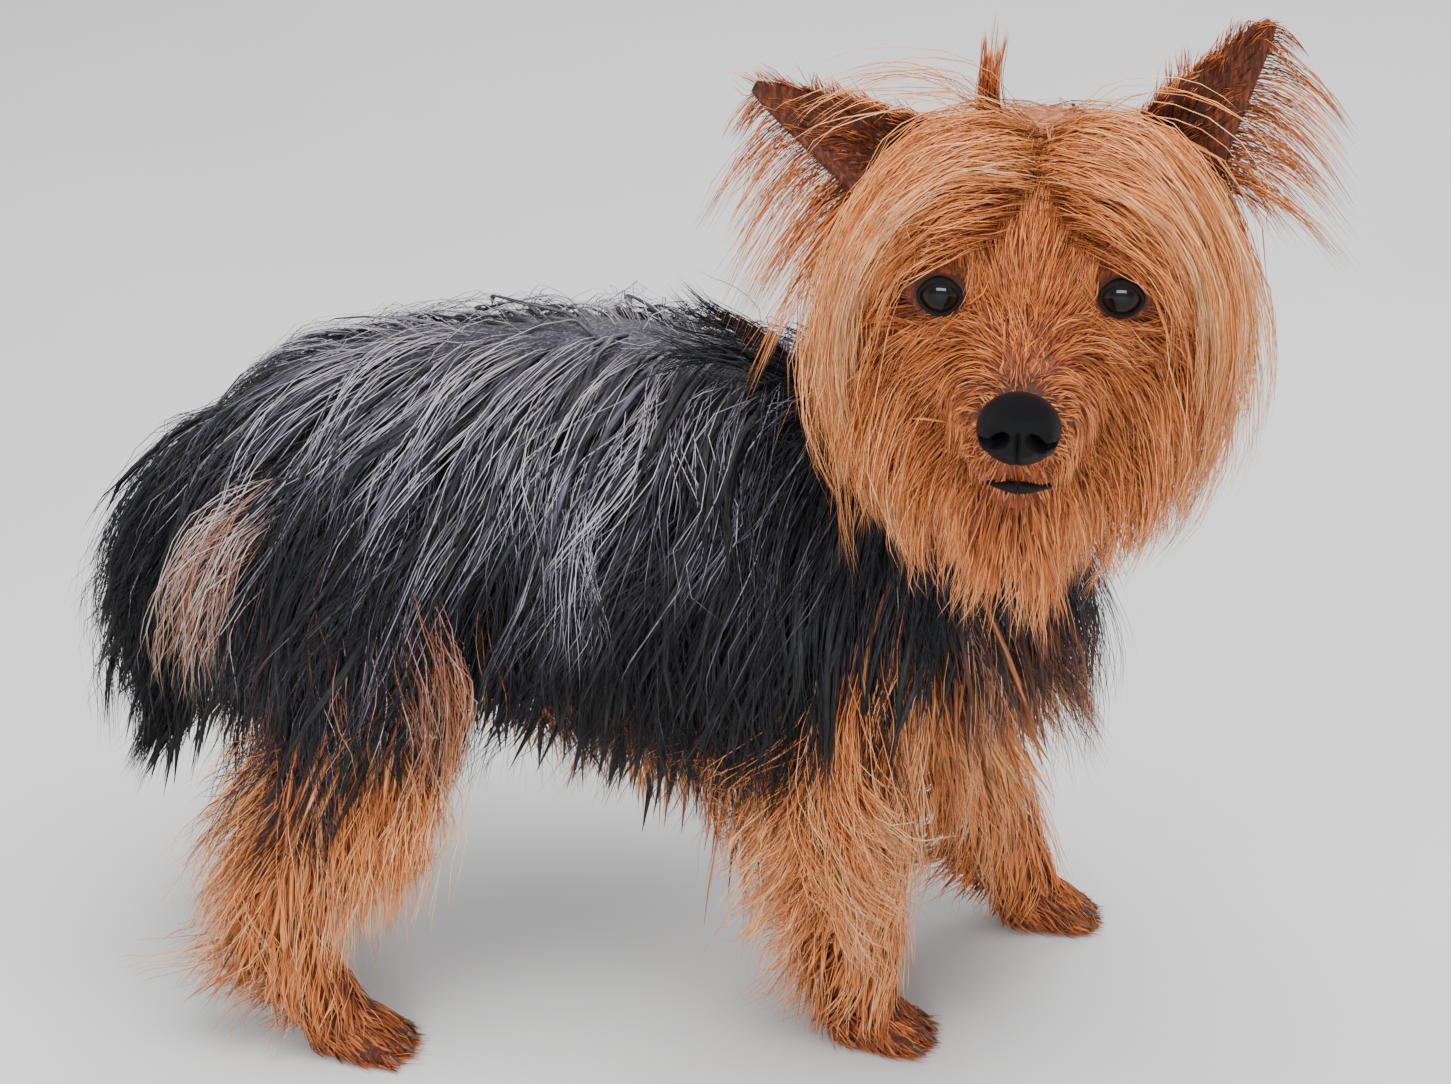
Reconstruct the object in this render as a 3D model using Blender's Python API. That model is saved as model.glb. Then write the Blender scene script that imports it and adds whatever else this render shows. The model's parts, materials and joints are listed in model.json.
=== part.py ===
"""A standing Yorkshire terrier at life size, with its head turned to its right.

The dog faces +X, its left side is +Y, and its soles stand on z = 0. Sizes are in millimetres
until the meshes are made. Each named part is a solid core, an inner share of the coat's depth,
with the long coat on it as flat, tapered locks.
"""

import math
import random

import bmesh
import bpy
import numpy as np
from mathutils import Matrix, Vector
from mathutils.bvhtree import BVHTree

MM = 0.001
GAP = 0.32  # between the faces of neighbouring parts
LOCK_GAP = 0.40  # between a lock and another part, so that its cuts differ from the core's
SHIFT = (-7.1, 30.7, 0.0)  # puts the origin on the floor under the middle of the dog
CORE_SHARE = 0.45  # of the coat's depth that the cores take
UP = Vector((0.0, 0.0, 1.0))

# A lock's path takes even steps near this long, at least three of them.
LOCK_STEP = 14.5
ROOT_SINK = 3.5
RISE = 0.6  # below one, a lock rises soon after its root and then lies along the coat
LOCK_DEPTH = 2.8
LOWEST_HAIR = 5.0
NEAR = 60.0  # how far a lock looks for the surfaces that it lies on

# The head's own axes are forward, left and up, from the point between the eyes.
EYE_MIDDLE = Vector((108.7, -85.0, 260.4))
HEAD_TURN = math.radians(-92.5)
HEAD_ROLL = math.radians(-1.5)
EYE_APART = 44.5
EYE_RADIUS = 8.6
SKULL_WIDTH = 66.0
MUZZLE_WIDTH = 28.0

# Rows are x, y, z of the middle, half width, reach up, reach down, share of the coat.
TORSO = [
    (-130, 0, 160, 9, 8, 8, 0.5),
    (-121, 0, 158, 26, 22, 25, 1),
    (-102, 0, 158, 36, 38, 39, 1),
    (-78, 0, 161, 39, 45, 47, 1),
    (-48, 0, 164, 39, 48, 46, 1),
    (-18, 0, 162, 42, 53, 52, 1),
    (14, 0, 157, 45, 54, 56, 1),
    (44, -2, 152, 46, 51, 56, 1),
    (74, -5, 149, 42, 46, 50, 1),
    (98, -9, 147, 33, 37, 38, 1),
    (113, -12, 145, 19, 23, 23, 0.8),
    (119, -13, 144, 7, 8, 8, 0.5),
]
TORSO_COAT = (15, 12, 12)
NECK = [
    (66, -4, 160, 30, 32, 30, 0.6),
    (84, -12, 184, 28, 30, 28, 1),
    (98, -22, 208, 26, 28, 26, 1),
    (106, -34, 230, 24, 24, 24, 0.8),
    (108, -48, 246, 20, 20, 20, 0.3),
]
NECK_COAT = (14, 14, 12)
TAIL = [
    (-108, 0, 178, 10, 10, 10, 0.3),
    (-125, -1, 172, 9, 9, 9, 0.5),
    (-138, -3, 158, 8, 8, 8, 0.8),
    (-145, -4, 140, 7, 7, 7, 1),
    (-146, -5, 121, 6, 6, 6, 1),
    (-142, -5, 102, 5, 5, 5, 1),
    (-137, -5, 88, 3, 3, 3, 0.8),
]
TAIL_COAT = (9, 7, 15)
# Rows of chest and rump locks: rise, turns from forward to the left, length and clearance.
CHEST_LOCKS = [
    (30, (-48, -14, 20, 56), 60, 32),
    (-2, (-26, 4, 36), 60, 30),
    (-30, (-12, 16, 44), 52, 20),
]
RUMP_LOCKS = [(28, (132, 165, 198, 230), 46), (-10, (122, 150, 212, 240), 48)]
# On a leg, up is towards the dog's front and down towards its back.
NEAR_THIGH = [
    (-88, -22, 176, 18, 26, 26, 0.5),
    (-82, -34, 156, 17, 30, 32, 0.8),
    (-76, -42, 136, 15, 26, 28, 1),
    (-72, -47, 117, 13, 21, 22, 1),
    (-76, -49, 102, 11, 16, 17, 1),
]
NEAR_SHANK = [
    (-74, -48, 112, 11, 17, 18, 1),
    (-84, -50, 90, 9, 12, 13, 1),
    (-97, -52, 68, 7, 9, 9, 1),
    (-103, -53, 52, 6.5, 8, 8, 1),
    (-97, -54, 34, 6.5, 7.5, 7.5, 0.9),
    (-89, -55, 16, 8, 9, 8, 0.5),
]
NEAR_FOREARM = [
    (78, -30, 150, 15, 22, 22, 0.5),
    (68, -38, 126, 13, 18, 19, 0.8),
    (64, -40, 104, 11, 14, 14, 1),
    (66, -39, 80, 9, 11, 10, 1),
    (68, -38, 52, 8, 9, 8.5, 1),
    (69, -37, 30, 8, 8.5, 8, 0.8),
    (70, -37, 16, 9, 9, 8, 0.4),
]
FAR_FOREARM = [
    (84, 24, 150, 15, 22, 22, 0.5),
    (78, 32, 126, 13, 18, 19, 0.8),
    (80, 34, 104, 11, 14, 14, 1),
    (90, 34, 80, 9, 11, 10, 1),
    (104, 33, 52, 8, 9, 8.5, 1),
    (113, 33, 30, 8, 8.5, 8, 0.8),
    (118, 33, 16, 9, 9, 8, 0.4),
]
LEG_COAT = (11, 9, 15)
LEG_FRINGE = 50  # length of the locks at the back of a leg
THIGH_COAT = (11, 9, 12)
FAR_HIND_SHIFT = (-16, 8)  # of the far hind leg, back and in, after it is mirrored

# Rows of the head's sections: forward, middle height, half width, reach up, reach down.
SKULL = [
    (-68, 4, 0.18, 7, 7),
    (-60, 4, 0.60, 20, 20),
    (-44, 3, 0.93, 32, 32),
    (-26, 1, 1.00, 36, 37),
    (-10, -2, 0.98, 35, 35),
    (-1, -6, 0.90, 31, 31),
    (6, -12, 0.70, 21, 24.3),
]
MUZZLE = [
    (-4, -17, 1.40, 17, 19.3),
    (6, -17, 1.28, 14.5, 19.3),
    (15, -18.5, 1.12, 12, 17.8),
    (25, -20, 1.00, 10, 16.3),
    (32, -21, 0.88, 9, 15.3),
    (36, -22, 0.62, 6.5, 11),
]
# The inner part of the long hair round the face, in rows as above with half widths in full.
MANE = [
    (-74, -6, 16, 20, 24),
    (-62, -8, 36, 36, 44),
    (-44, -13, 45, 47, 53),
    (-26, -19, 47, 54, 52),
    (-13, -24, 43, 52, 46),
]
LIP = [  # forward, outward, height, radius
    (-10, 17.0, -35.0, 1.6),
    (6, 16.4, -35.6, 2.4),
    (20, 14.2, -36.2, 2.5),
    (31, 9.4, -36.6, 2.4),
    (36, 3.0, -34.6, 2.0),
]
JAW = [
    (-26, -41, 14.5, 6, 6),
    (-8, -42, 14.0, 7, 6),
    (12, -42, 12.5, 6, 5.5),
    (24, -42, 10.0, 6, 5),
    (31, -41.5, 6.0, 5, 3.5),
]
NOSE = [
    (33, -19.2, 6.6, 5.4, 6.0),
    (35.5, -19.2, 9.4, 8.0, 8.6),
    (39, -19.2, 10.2, 8.9, 9.4),
    (42.5, -19.2, 9.3, 7.8, 8.4),
    (45, -19.4, 6.2, 4.9, 5.4),
    (46, -19.6, 2.2, 1.8, 2.0),
]
# Rise, turn, length and clearance of the locks on the sides of the head.
CHEEK_LOCKS = [
    (12, 82, 58, 17), (12, 112, 54, 14), (12, 140, 44, 9),
    (-20, 76, 60, 17), (-20, 104, 56, 14), (-20, 134, 42, 7),
]
NOSTRIL = (44.6, 4.6, -20.4)  # the middle of the left one
NOSTRIL_RADIUS = 2.5
# Ears: base and tip in the head's axes, then the way the cup opens.
EARS = {
    "ear_right": ((-31, -29, 17), (-35, -73, 43), (0.86, -0.25, 0.35)),
    "ear_left": ((-31, 28, 22), (-35, 54, 63), (0.92, 0.2, 0.1)),
}
EAR_WIDTH = 31.0
EAR_THICKNESS = 2.0
EAR_FRINGE = [(1, 27), (2, 24), (3, 20)]  # the section that each lock grows from, and its length

PAW_WIDTH = 22.0
TOE_SIZES = (0.96, 1.03, 1.0, 0.93)
PAWS = {
    "forepaw_right": (70.7, -36.4, -4),
    "forepaw_left": (121.5, 32.6, 4),
    "hindpaw_right": (-85, -54.6, -6),
    "hindpaw_left": (-101, 46.6, 6),
}

BLACK_STEEL = (0.022, 0.023, 0.030)
TAN = (0.60, 0.24, 0.085)
EAR_BROWN = (0.16, 0.055, 0.035)
LEATHER_BLACK = (0.018, 0.018, 0.022)
EYE_BROWN = (0.020, 0.010, 0.008)


def clear_scene():
    for obj in list(bpy.data.objects):
        bpy.data.objects.remove(obj, do_unlink=True)


def material(name, colour, roughness):
    made = bpy.data.materials.new(name)
    made.use_nodes = True
    shader = made.node_tree.nodes["Principled BSDF"]
    shader.inputs["Base Color"].default_value = (*colour, 1.0)
    shader.inputs["Roughness"].default_value = roughness
    shader.inputs["Metallic"].default_value = 0.0
    made.diffuse_color = (*colour, 1.0)
    return made


def head_matrix():
    turn = Matrix.Rotation(HEAD_TURN, 4, "Z") @ Matrix.Rotation(HEAD_ROLL, 4, "X")
    return Matrix.Translation(EYE_MIDDLE) @ turn


def smooth_rows(rows, count):
    """Catmull-Rom through the rows, at count even steps."""
    rows = np.array(rows, float)
    padded = np.vstack([2 * rows[0] - rows[1], rows, 2 * rows[-1] - rows[-2]])
    made = []
    for place in np.linspace(0, len(rows) - 1, count):
        i = min(int(place), len(rows) - 2)
        t = place - i
        a, b, c, d = padded[i : i + 4]
        made.append(
            0.5 * (2 * b + (c - a) * t + (2 * a - 5 * b + 4 * c - d) * t**2
                   + (3 * b - a - 3 * c + d) * t**3)
        )
    return np.array(made)


def close_round(bm, loop, flip):
    """Closes an end with a fan about its middle."""
    sides = len(loop)
    middle = bm.verts.new(sum((v.co for v in loop), Vector()) / sides)
    for i in range(sides):
        corners = (loop[i], loop[(i + 1) % sides], middle)
        bm.faces.new(corners[::-1] if flip else corners)


def close_curved(bm, loop, flip):
    """Closes the end of a thin curved wall, whose second half runs back along its inside."""
    for i in range(len(loop) // 2 - 1):
        corners = (loop[i], loop[i + 1], loop[-2 - i], loop[-1 - i])
        bm.faces.new(corners[::-1] if flip else corners)


def rings_to_mesh(rings, close=close_round):
    """A closed bmesh through rings of equal counts."""
    bm = bmesh.new()
    loops = [[bm.verts.new(p) for p in ring] for ring in rings]
    sides = len(loops[0])
    for low, high in zip(loops, loops[1:]):
        for i in range(sides):
            j = (i + 1) % sides
            bm.faces.new((low[i], low[j], high[j], high[i]))
    close(bm, loops[0], True)
    close(bm, loops[-1], False)
    bmesh.ops.triangulate(bm, faces=bm.faces[:])
    bmesh.ops.recalc_face_normals(bm, faces=bm.faces[:])
    return bm


def section_axes(rows, i):
    """Ahead, side and up at row i of a path; side keeps close to the dog's left."""
    ahead = Vector(rows[min(i + 1, len(rows) - 1)][:3]) - Vector(rows[max(i - 1, 0)][:3])
    ahead.normalize()
    side = Vector((0, 1, 0))
    side = (side - ahead * side.dot(ahead)).normalized()
    return ahead, side, ahead.cross(side)


def tube_rings(rows, coat, count, sides, share=CORE_SHARE, grow=0.0):
    """Oval rings along a path; a coat of (side, up, down) depths is added by its share."""
    rows = smooth_rows(rows, count)
    side_coat, up_coat, down_coat = coat
    rings = []
    for i, row in enumerate(rows):
        ahead, side, up = section_axes(rows, i)
        added = share * row[6]
        half = row[3] + added * side_coat + grow
        reach = (row[4] + added * up_coat + grow, row[5] + added * down_coat + grow)
        middle = Vector(row[:3])
        ring = []
        for k in range(sides):
            angle = 2 * math.pi * k / sides
            height = math.sin(angle)
            height *= reach[0] if height > 0 else reach[1]
            ring.append(middle + side * half * math.cos(angle) + up * height)
        rings.append(ring)
    return rings


def head_rings(rows, width, count, sides, grow=0.0):
    """Sections across the head's forward axis, in the head's axes."""
    rings = []
    for forward, middle, half, up, down in smooth_rows(rows, count):
        half = half * width / 2 + grow
        ring = []
        for k in range(sides):
            angle = 2 * math.pi * k / sides
            height = math.sin(angle)
            height *= (up if height > 0 else down) + grow
            ring.append((forward, half * math.cos(angle), middle + height))
        rings.append(ring)
    return rings


def lip_roll(side, grow=0.0):
    """The rolled edge of the upper lip on one side, in the head's axes."""
    rows = [(f, side * out, z, r, r, r, 0) for f, out, z, r in LIP]
    return rings_to_mesh(tube_rings(rows, (0, 0, 0), 5, 5, grow=grow))


def ball(radius, middle, scale=(1, 1, 1), around=12, rings=8):
    bm = bmesh.new()
    bmesh.ops.create_uvsphere(bm, u_segments=around, v_segments=rings, radius=radius)
    bmesh.ops.scale(bm, vec=scale, verts=bm.verts[:])
    bmesh.ops.translate(bm, vec=middle, verts=bm.verts[:])
    bmesh.ops.triangulate(bm, faces=bm.faces[:])
    return bm


def placed(bm, matrix):
    bm.transform(matrix)
    bm.normal_update()
    return bm


def solid(name, bm):
    """An object from a bmesh in millimetres."""
    mesh = bpy.data.meshes.new(name)
    bm.to_mesh(mesh)
    bm.free()
    obj = bpy.data.objects.new(name, mesh)
    bpy.context.scene.collection.objects.link(obj)
    return obj


def apply_boolean(obj, others, operation):
    """One Boolean of obj with all the others, applied; the others are removed."""
    if not others:
        return obj
    group = bpy.data.collections.new("pieces")
    bpy.context.scene.collection.children.link(group)
    for other in others:
        bpy.context.scene.collection.objects.unlink(other)
        group.objects.link(other)
    step = obj.modifiers.new("join", "BOOLEAN")
    step.operand_type = "COLLECTION"
    step.collection = group
    step.operation = operation
    step.solver = "MANIFOLD"
    bpy.context.view_layer.update()
    graph = bpy.context.evaluated_depsgraph_get()
    made = bpy.data.meshes.new_from_object(obj.evaluated_get(graph), depsgraph=graph)
    obj.modifiers.clear()
    obj.data = made
    for other in others:
        bpy.data.objects.remove(other, do_unlink=True)
    bpy.data.collections.remove(group)
    return obj


def keep_largest(obj):
    """Leaves only the closed surface with the most volume."""
    bm = bmesh.new()
    bm.from_mesh(obj.data)
    bmesh.ops.triangulate(bm, faces=bm.faces[:])
    left = set(bm.faces)
    shells = []
    while left:
        start = left.pop()
        shell, edge_of = {start}, [start]
        while edge_of:
            for edge in edge_of.pop().edges:
                for face in edge.link_faces:
                    if face in left:
                        left.remove(face)
                        shell.add(face)
                        edge_of.append(face)
        volume = sum(
            f.verts[0].co.dot(f.verts[1].co.cross(f.verts[2].co)) for f in shell
        )
        shells.append((volume, shell))
    best = max(shells, key=lambda s: s[0])[1]
    loose = [f for f in bm.faces if f not in best]
    bmesh.ops.delete(bm, geom=loose, context="FACES")
    bm.to_mesh(obj.data)
    bm.free()
    return obj


def ear_rings(name, grow=0.0):
    """Closed sections up an ear: the outside of the cup one way, its inside back."""
    base, tip, opens = (Vector(v) for v in EARS[name])
    axis = tip - base
    tall = axis.length
    axis.normalize()
    front = (opens - axis * opens.dot(axis)).normalized()
    side = axis.cross(front)
    rings = []
    levels, half_turns = 5, 5
    for level in range(levels):
        v = level / (levels - 1)
        radius = EAR_WIDTH / 2 * (1 - v) ** 0.75 + 1.4 * v
        spread = math.radians(78 - 30 * v) + 1.4 * grow / radius
        thick = EAR_THICKNESS * (1 - 0.35 * v) + 2 * grow
        middle = base + axis * (v * tall + (grow if v == 1 else 0))
        outer, inner = [], []
        for k in range(half_turns):
            angle = spread * (2 * k / (half_turns - 1) - 1)
            for points, r in ((outer, radius + thick / 2), (inner, radius - thick / 2)):
                across = side * r * math.sin(angle)
                points.append(middle + across - front * 0.62 * (r * math.cos(angle) - radius / 2))
        rings.append(outer + inner[::-1])
    return rings


def nostril_cuts():
    f, out, z = NOSTRIL
    return [
        placed(ball(NOSTRIL_RADIUS, (f, side * out, z), (1.3, 1.0, 0.8), 6, 4), head_matrix())
        for side in (1, -1)
    ]


def eye_places():
    return {"eye_left": EYE_APART / 2, "eye_right": -EYE_APART / 2}


def lid_opening(left, grow=0.0):
    """An almond prism, corner to corner, that the lids leave open."""
    sides, half_wide, half_high = 10, 6.9 + grow, 5.2 + grow
    ring = []
    for k in range(sides):
        angle = 2 * math.pi * k / sides
        sharp = 1 - 0.22 * math.cos(angle) ** 2
        ring.append((half_wide * math.cos(angle), half_high * math.sin(angle) * sharp))
    rings = [[(f, left + a, b - 0.2) for a, b in ring] for f in (3.0, 30.0)]
    return rings_to_mesh(rings)


def paw_solid(name, grow=0.0):
    """A pad body with four toes and claws; the floor cut comes later."""
    x, y, turn = PAWS[name]
    body = [
        (-11, 0, 8, 7.0, 8, 8, 0),
        (-6, 0, 8.5, 9.0, 9, 9.8, 0),
        (3, 0, 8, 10.0, 7.5, 9.4, 0),
        (10, 0, 6.5, 9.0, 5.5, 7.4, 0),
    ]
    pieces = [rings_to_mesh(tube_rings(body, (0, 0, 0), 4, 8, grow=grow))]
    for toe, size in enumerate(TOE_SIZES):
        across = (toe - 1.45) * PAW_WIDTH * 0.25
        ahead = 12.2 - 1.4 * (toe - 1.45) ** 2
        lean = (toe - 1.45) * 0.10
        knuckle_and_claw = [
            (ahead - 7.0, across, 4.0, 2.6 * size, 2.8 * size, 2.6, 0),
            (ahead, across, 4.0, 3.5 * size, 4.4 * size, 4.6, 0),
            (ahead + 5.0, across + lean * 4, 3.6, 2.7 * size, 3.0 * size, 3.9, 0),
            (ahead + 7.0, across + lean * 5, 3.2, 1.1, 1.2, 1.2, 0),
            (ahead + 11.5, across + lean * 10, 1.6, 0.3, 0.3, 0.3, 0),
        ]
        pieces.append(rings_to_mesh(tube_rings(knuckle_and_claw, (0, 0, 0), 5, 6, grow=grow)))
    matrix = Matrix.Translation((x, y, 0)) @ Matrix.Rotation(math.radians(turn), 4, "Z")
    return [placed(piece, matrix) for piece in pieces]


def far_leg(rows):
    """The far hind leg: the near one mirrored and set back."""
    back, inward = FAR_HIND_SHIFT
    made = []
    for row in rows:
        fall = 1 - min(row[2], 176) / 176
        made.append((row[0] + back * fall, -row[1] - inward * fall, *row[2:]))
    return made


TUBES = {
    "torso": (TORSO, TORSO_COAT, 13, 16),
    "neck": (NECK, NECK_COAT, 6, 14),
    "tail": (TAIL, TAIL_COAT, 9, 8),
    "thigh_right": (NEAR_THIGH, THIGH_COAT, 7, 12),
    "thigh_left": (far_leg(NEAR_THIGH), THIGH_COAT, 7, 12),
    "hindleg_right": (NEAR_SHANK, LEG_COAT, 9, 10),
    "hindleg_left": (far_leg(NEAR_SHANK), LEG_COAT, 9, 10),
    "foreleg_right": (NEAR_FOREARM, LEG_COAT, 9, 10),
    "foreleg_left": (FAR_FOREARM, LEG_COAT, 9, 10),
}


def core_pieces(name, grow=0.0, share=CORE_SHARE):
    """The closed bmeshes whose union is the core of a part."""
    to_dog = head_matrix()
    if name in TUBES:
        rows, coat, count, sides = TUBES[name]
        return [rings_to_mesh(tube_rings(rows, coat, count, sides, share, grow))]
    if name == "head":
        pieces = [
            rings_to_mesh(head_rings(SKULL, SKULL_WIDTH, 8, 14, grow)),
            rings_to_mesh(head_rings(MUZZLE, MUZZLE_WIDTH, 7, 12, grow)),
            rings_to_mesh(head_rings(MANE, 2.0, 5, 14, grow)),
            lip_roll(1, grow),
            lip_roll(-1, grow),
        ]
        for left in eye_places().values():
            pieces.append(ball(EYE_RADIUS + 1.9 + grow, (-1.0, left, 0), around=8, rings=6))
        return [placed(piece, to_dog) for piece in pieces]
    if name == "jaw":
        return [placed(rings_to_mesh(head_rings(JAW, 2.0, 7, 10, grow)), to_dog)]
    if name == "nose":
        return [placed(rings_to_mesh(head_rings(NOSE, 2.0, 6, 10, grow)), to_dog)]
    if name in EARS:
        return [placed(rings_to_mesh(ear_rings(name, grow), close_curved), to_dog)]
    if name in PAWS:
        return paw_solid(name, grow)
    left = eye_places()[name]
    return [placed(ball(EYE_RADIUS + grow, (0, left, 0), around=12, rings=8), to_dog)]


def inside(tree, place):
    """Whether a ray from the place crosses the closed surface an odd number of times."""
    way = Vector((0.28, 0.31, 0.91)).normalized()
    crossings = 0
    while True:
        hit = tree.ray_cast(place, way)[0]
        if hit is None:
            return crossings % 2 == 1
        crossings += 1
        place = hit + way * 0.001


def signed_height(trees, place):
    """Height over the nearest of the cores, less than nothing inside one, and the way out."""
    best = (NEAR, UP)
    for tree in trees:
        hit, normal, _, distance = tree.find_nearest(place, NEAR)
        if hit is None:
            continue
        out = (place - hit).normalized() if distance > 0.01 else normal
        if inside(tree, place):
            distance, out = -distance, -out
        if distance < best[0]:
            best = (distance, out)
    return best


def core_trees(names):
    trees = []
    for name in names:
        for piece in core_pieces(name):
            trees.append(BVHTree.FromBMesh(piece))
            piece.free()
    return trees


def surface_root(trees, inner, way):
    """The outermost place of a part's core along a ray, and the way out there."""
    found = None
    for tree in trees:
        hit, normal, _, distance = tree.ray_cast(inner + way * 200, -way)
        if hit and (found is None or distance < found[2]):
            found = (hit, normal, distance)
    return found[:2] if found else None


def comb(trees, root, out, lie, length, clear, droop=0.15):
    """Middle points and ways up of a lock that follows the lie and rises to its clearance."""
    steps = max(3, round(length / LOCK_STEP))
    step = length / steps
    path = [(root - out * ROOT_SINK, out)]
    place, up, heading = root, out, None
    for k in range(1, steps + 1):
        flow = lie(place, up)
        flow = (flow - up * flow.dot(up)).normalized()
        heading = flow if heading is None else (heading + flow).normalized()
        share = k / steps
        target = place + heading * step - UP * (droop * step * share)
        height, away = signed_height(trees, target)
        want = clear * share ** RISE
        if height < want:
            target = target + away * (want - height)
        up = (up * 1.2 + away).normalized()
        target.z = max(target.z, LOWEST_HAIR)
        heading = (target - place).normalized()
        path.append((target, up))
        place = target
    return path


def steady_side(along, up, before):
    """The way across a lock, square to it, that never turns over from one section to the next."""
    across = along.cross(up)
    kept = (before - along * before.dot(along)).normalized()
    if across.dot(kept) < 0:
        across = -across
    return (across * 0.3 + kept).normalized()


def lock_mesh(path, width, grow=0.0):
    """A flat, tapered lock: a low ridge over a flat back, narrowing to a point."""
    rings = []
    last = len(path) - 1
    mean_up = sum((up for _, up in path), Vector())
    side = (path[-1][0] - path[0][0]).cross(mean_up).normalized()
    for k, (place, up) in enumerate(path[:-1]):
        before = path[max(k - 1, 0)][0]
        along = (path[k + 1][0] - before).normalized()
        side = steady_side(along, up, side)
        over = side.cross(along)
        share = k / last
        wide = width / 2 * (0.8 + 0.7 * share) * (1 - share**2.5)
        wide += (0.12 * width + 2.6) * grow
        deep = LOCK_DEPTH * (1 - 0.5 * share**2)
        if k == 0:
            place = place - along * grow
        low = place - over * (0.35 * deep + grow)
        rings.append((low - side * wide, low + side * wide, place + over * (0.65 * deep + 2.0 * grow)))
    tip = path[-1][0] + (path[-1][0] - path[-2][0]).normalized() * 2 * grow
    bm = bmesh.new()
    loops = [[bm.verts.new(p) for p in ring] for ring in rings]
    for low, high in zip(loops, loops[1:]):
        for i in range(3):
            j = (i + 1) % 3
            bm.faces.new((low[i], low[j], high[j]))
            bm.faces.new((low[i], high[j], high[i]))
    apex = bm.verts.new(tip)
    for i in range(3):
        bm.faces.new((loops[-1][i], loops[-1][(i + 1) % 3], apex))
    bm.faces.new(loops[0][::-1])
    bmesh.ops.recalc_face_normals(bm, faces=bm.faces[:])
    return bm


def downward(back, spread=0.8):
    """A lie that parts along the spine and falls, drawn back by a share."""
    def lie(place, up):
        side = 1 if place.y > 0 else -1
        return Vector((-back, side * spread * max(up.z, 0.0), -1.0))
    return lie


def straight(way):
    return lambda place, up: Vector(way)


def tube_locks(name, rows, lie, width, length, clear, random_from):
    """Locks on a tube: rows of (along 0 to 1, angle in degrees from the top towards the left)."""
    path, coat, count, sides = TUBES[name]
    fine = smooth_rows(path, 61)
    own = core_trees([name])
    locks = []
    for along, angle in rows:
        i = int(round(min(max(along, 0), 1) * 60))
        ahead, side, up = section_axes(fine, i)
        turn = math.radians(angle)
        way = side * math.sin(turn) + up * math.cos(turn)
        found = surface_root(own, Vector(fine[i][:3]), way)
        if not found:
            continue
        scale = random_from.uniform(0.88, 1.12)
        locks.append((*found, lie, length * scale, clear * random_from.uniform(0.85, 1.1), width * scale))
    return locks


def staggered(alongs, angles, shift, random_from, wobble=0.012, turn=3.0):
    """Every along with every angle, each other row set half a step along."""
    step = (alongs[1] - alongs[0]) / 2 if len(alongs) > 1 else 0
    places = []
    for r, angle in enumerate(angles):
        for along in alongs:
            moved = along + (step if (r + shift) % 2 else 0) + random_from.uniform(-wobble, wobble)
            places.append((moved, angle + random_from.uniform(-turn, turn)))
    return places


def aimed(trees, inner, turn, rise, spin=None):
    """The root on a core seen from a place inside: turned from forward to the left, then raised."""
    turn, rise = math.radians(turn), math.radians(rise)
    way = Vector((math.cos(turn) * math.cos(rise), math.sin(turn) * math.cos(rise), math.sin(rise)))
    return surface_root(trees, Vector(inner), spin @ way if spin else way)


def torso_locks(random_from):
    locks = []
    alongs = [0.15 + 0.143 * k for k in range(6)]
    for side in (1, -1):
        for row, angle in enumerate((10, 38, 66, 94, 122)):
            places = staggered(alongs, [side * angle], row, random_from)
            length, clear = (46, 10) if row == 0 else (42, 6.5)
            for place in places:
                locks += tube_locks("torso", [place], downward(0.45), 26, length, clear, random_from)
    own = core_trees(["torso"])
    for rise, turns, length, clear in CHEST_LOCKS:
        for turn in turns:
            root, out = aimed(own, (96, -9, 147), turn + random_from.uniform(-4, 4), rise)
            lie = straight((0.25, 0.3 * out.y, -1))
            locks.append((root, out, lie, length, clear, 19))
    for rise, turns, length in RUMP_LOCKS:
        for turn in turns:
            root, out = aimed(own, (-108, 0, 160), turn + random_from.uniform(-4, 4), rise)
            locks.append((root, out, straight((-0.35, 0.2 * out.y, -1)), length, 9, 19))
    root, out = aimed(own, (-108, 0, 160), 236, 12)
    locks.append((root, out, straight((-0.4, -0.1, -1)), 62, 13, 14))
    locks += tube_locks("torso", [(0.60, -4)], straight((-1, 0, 0)), 10, 30, 18, random_from)
    return locks


def neck_locks(random_from):
    locks = []
    for along, angles in ((0.28, (-135, -85, -35, 15, 70)), (0.55, (-105, -50, 45))):
        places = [(along + random_from.uniform(-0.03, 0.03), angle) for angle in angles]
        locks += tube_locks("neck", places, straight((-0.5, 0.0, -1.0)), 23, 44, 7, random_from)
    return locks


def tail_locks(random_from):
    locks = []
    for along, angles in ((0.40, (180, 120, 240)), (0.60, (150, 210, 60, 300)), (0.80, (180, 0))):
        places = [(along, angle + random_from.uniform(-8, 8)) for angle in angles]
        locks += tube_locks("tail", places, straight((0.12, 0.0, -1.0)), 17, 38, 7, random_from)
    return locks


def thigh_locks(name, random_from):
    side = -1 if name.endswith("right") else 1
    places = []
    for along, angles in ((0.30, (55, 115)), (0.55, (25, 80, 135)), (0.78, (50, 110, 165))):
        places += [(along, side * angle + random_from.uniform(-5, 5)) for angle in angles]
    return tube_locks(name, places, downward(0.12), 20, 38, 6, random_from)


def leg_locks(name, random_from, levels):
    """Rows round a leg, with the longest locks at its back."""
    locks = []
    for row, along in enumerate(levels):
        for column in range(4 - row % 2):
            angle = 90 * column + (90 if row % 2 else 0) + random_from.uniform(-9, 9)
            behind = math.cos(math.radians(angle)) < -0.4
            lie = straight((-0.8 if behind else 0.02, 0, -1))
            place = (along + random_from.uniform(-0.02, 0.02), angle)
            length, clear, width = (LEG_FRINGE, 14, 20) if behind else (32, 5.5, 15)
            locks += tube_locks(name, [place], lie, width, length, clear, random_from)
    return locks


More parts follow.
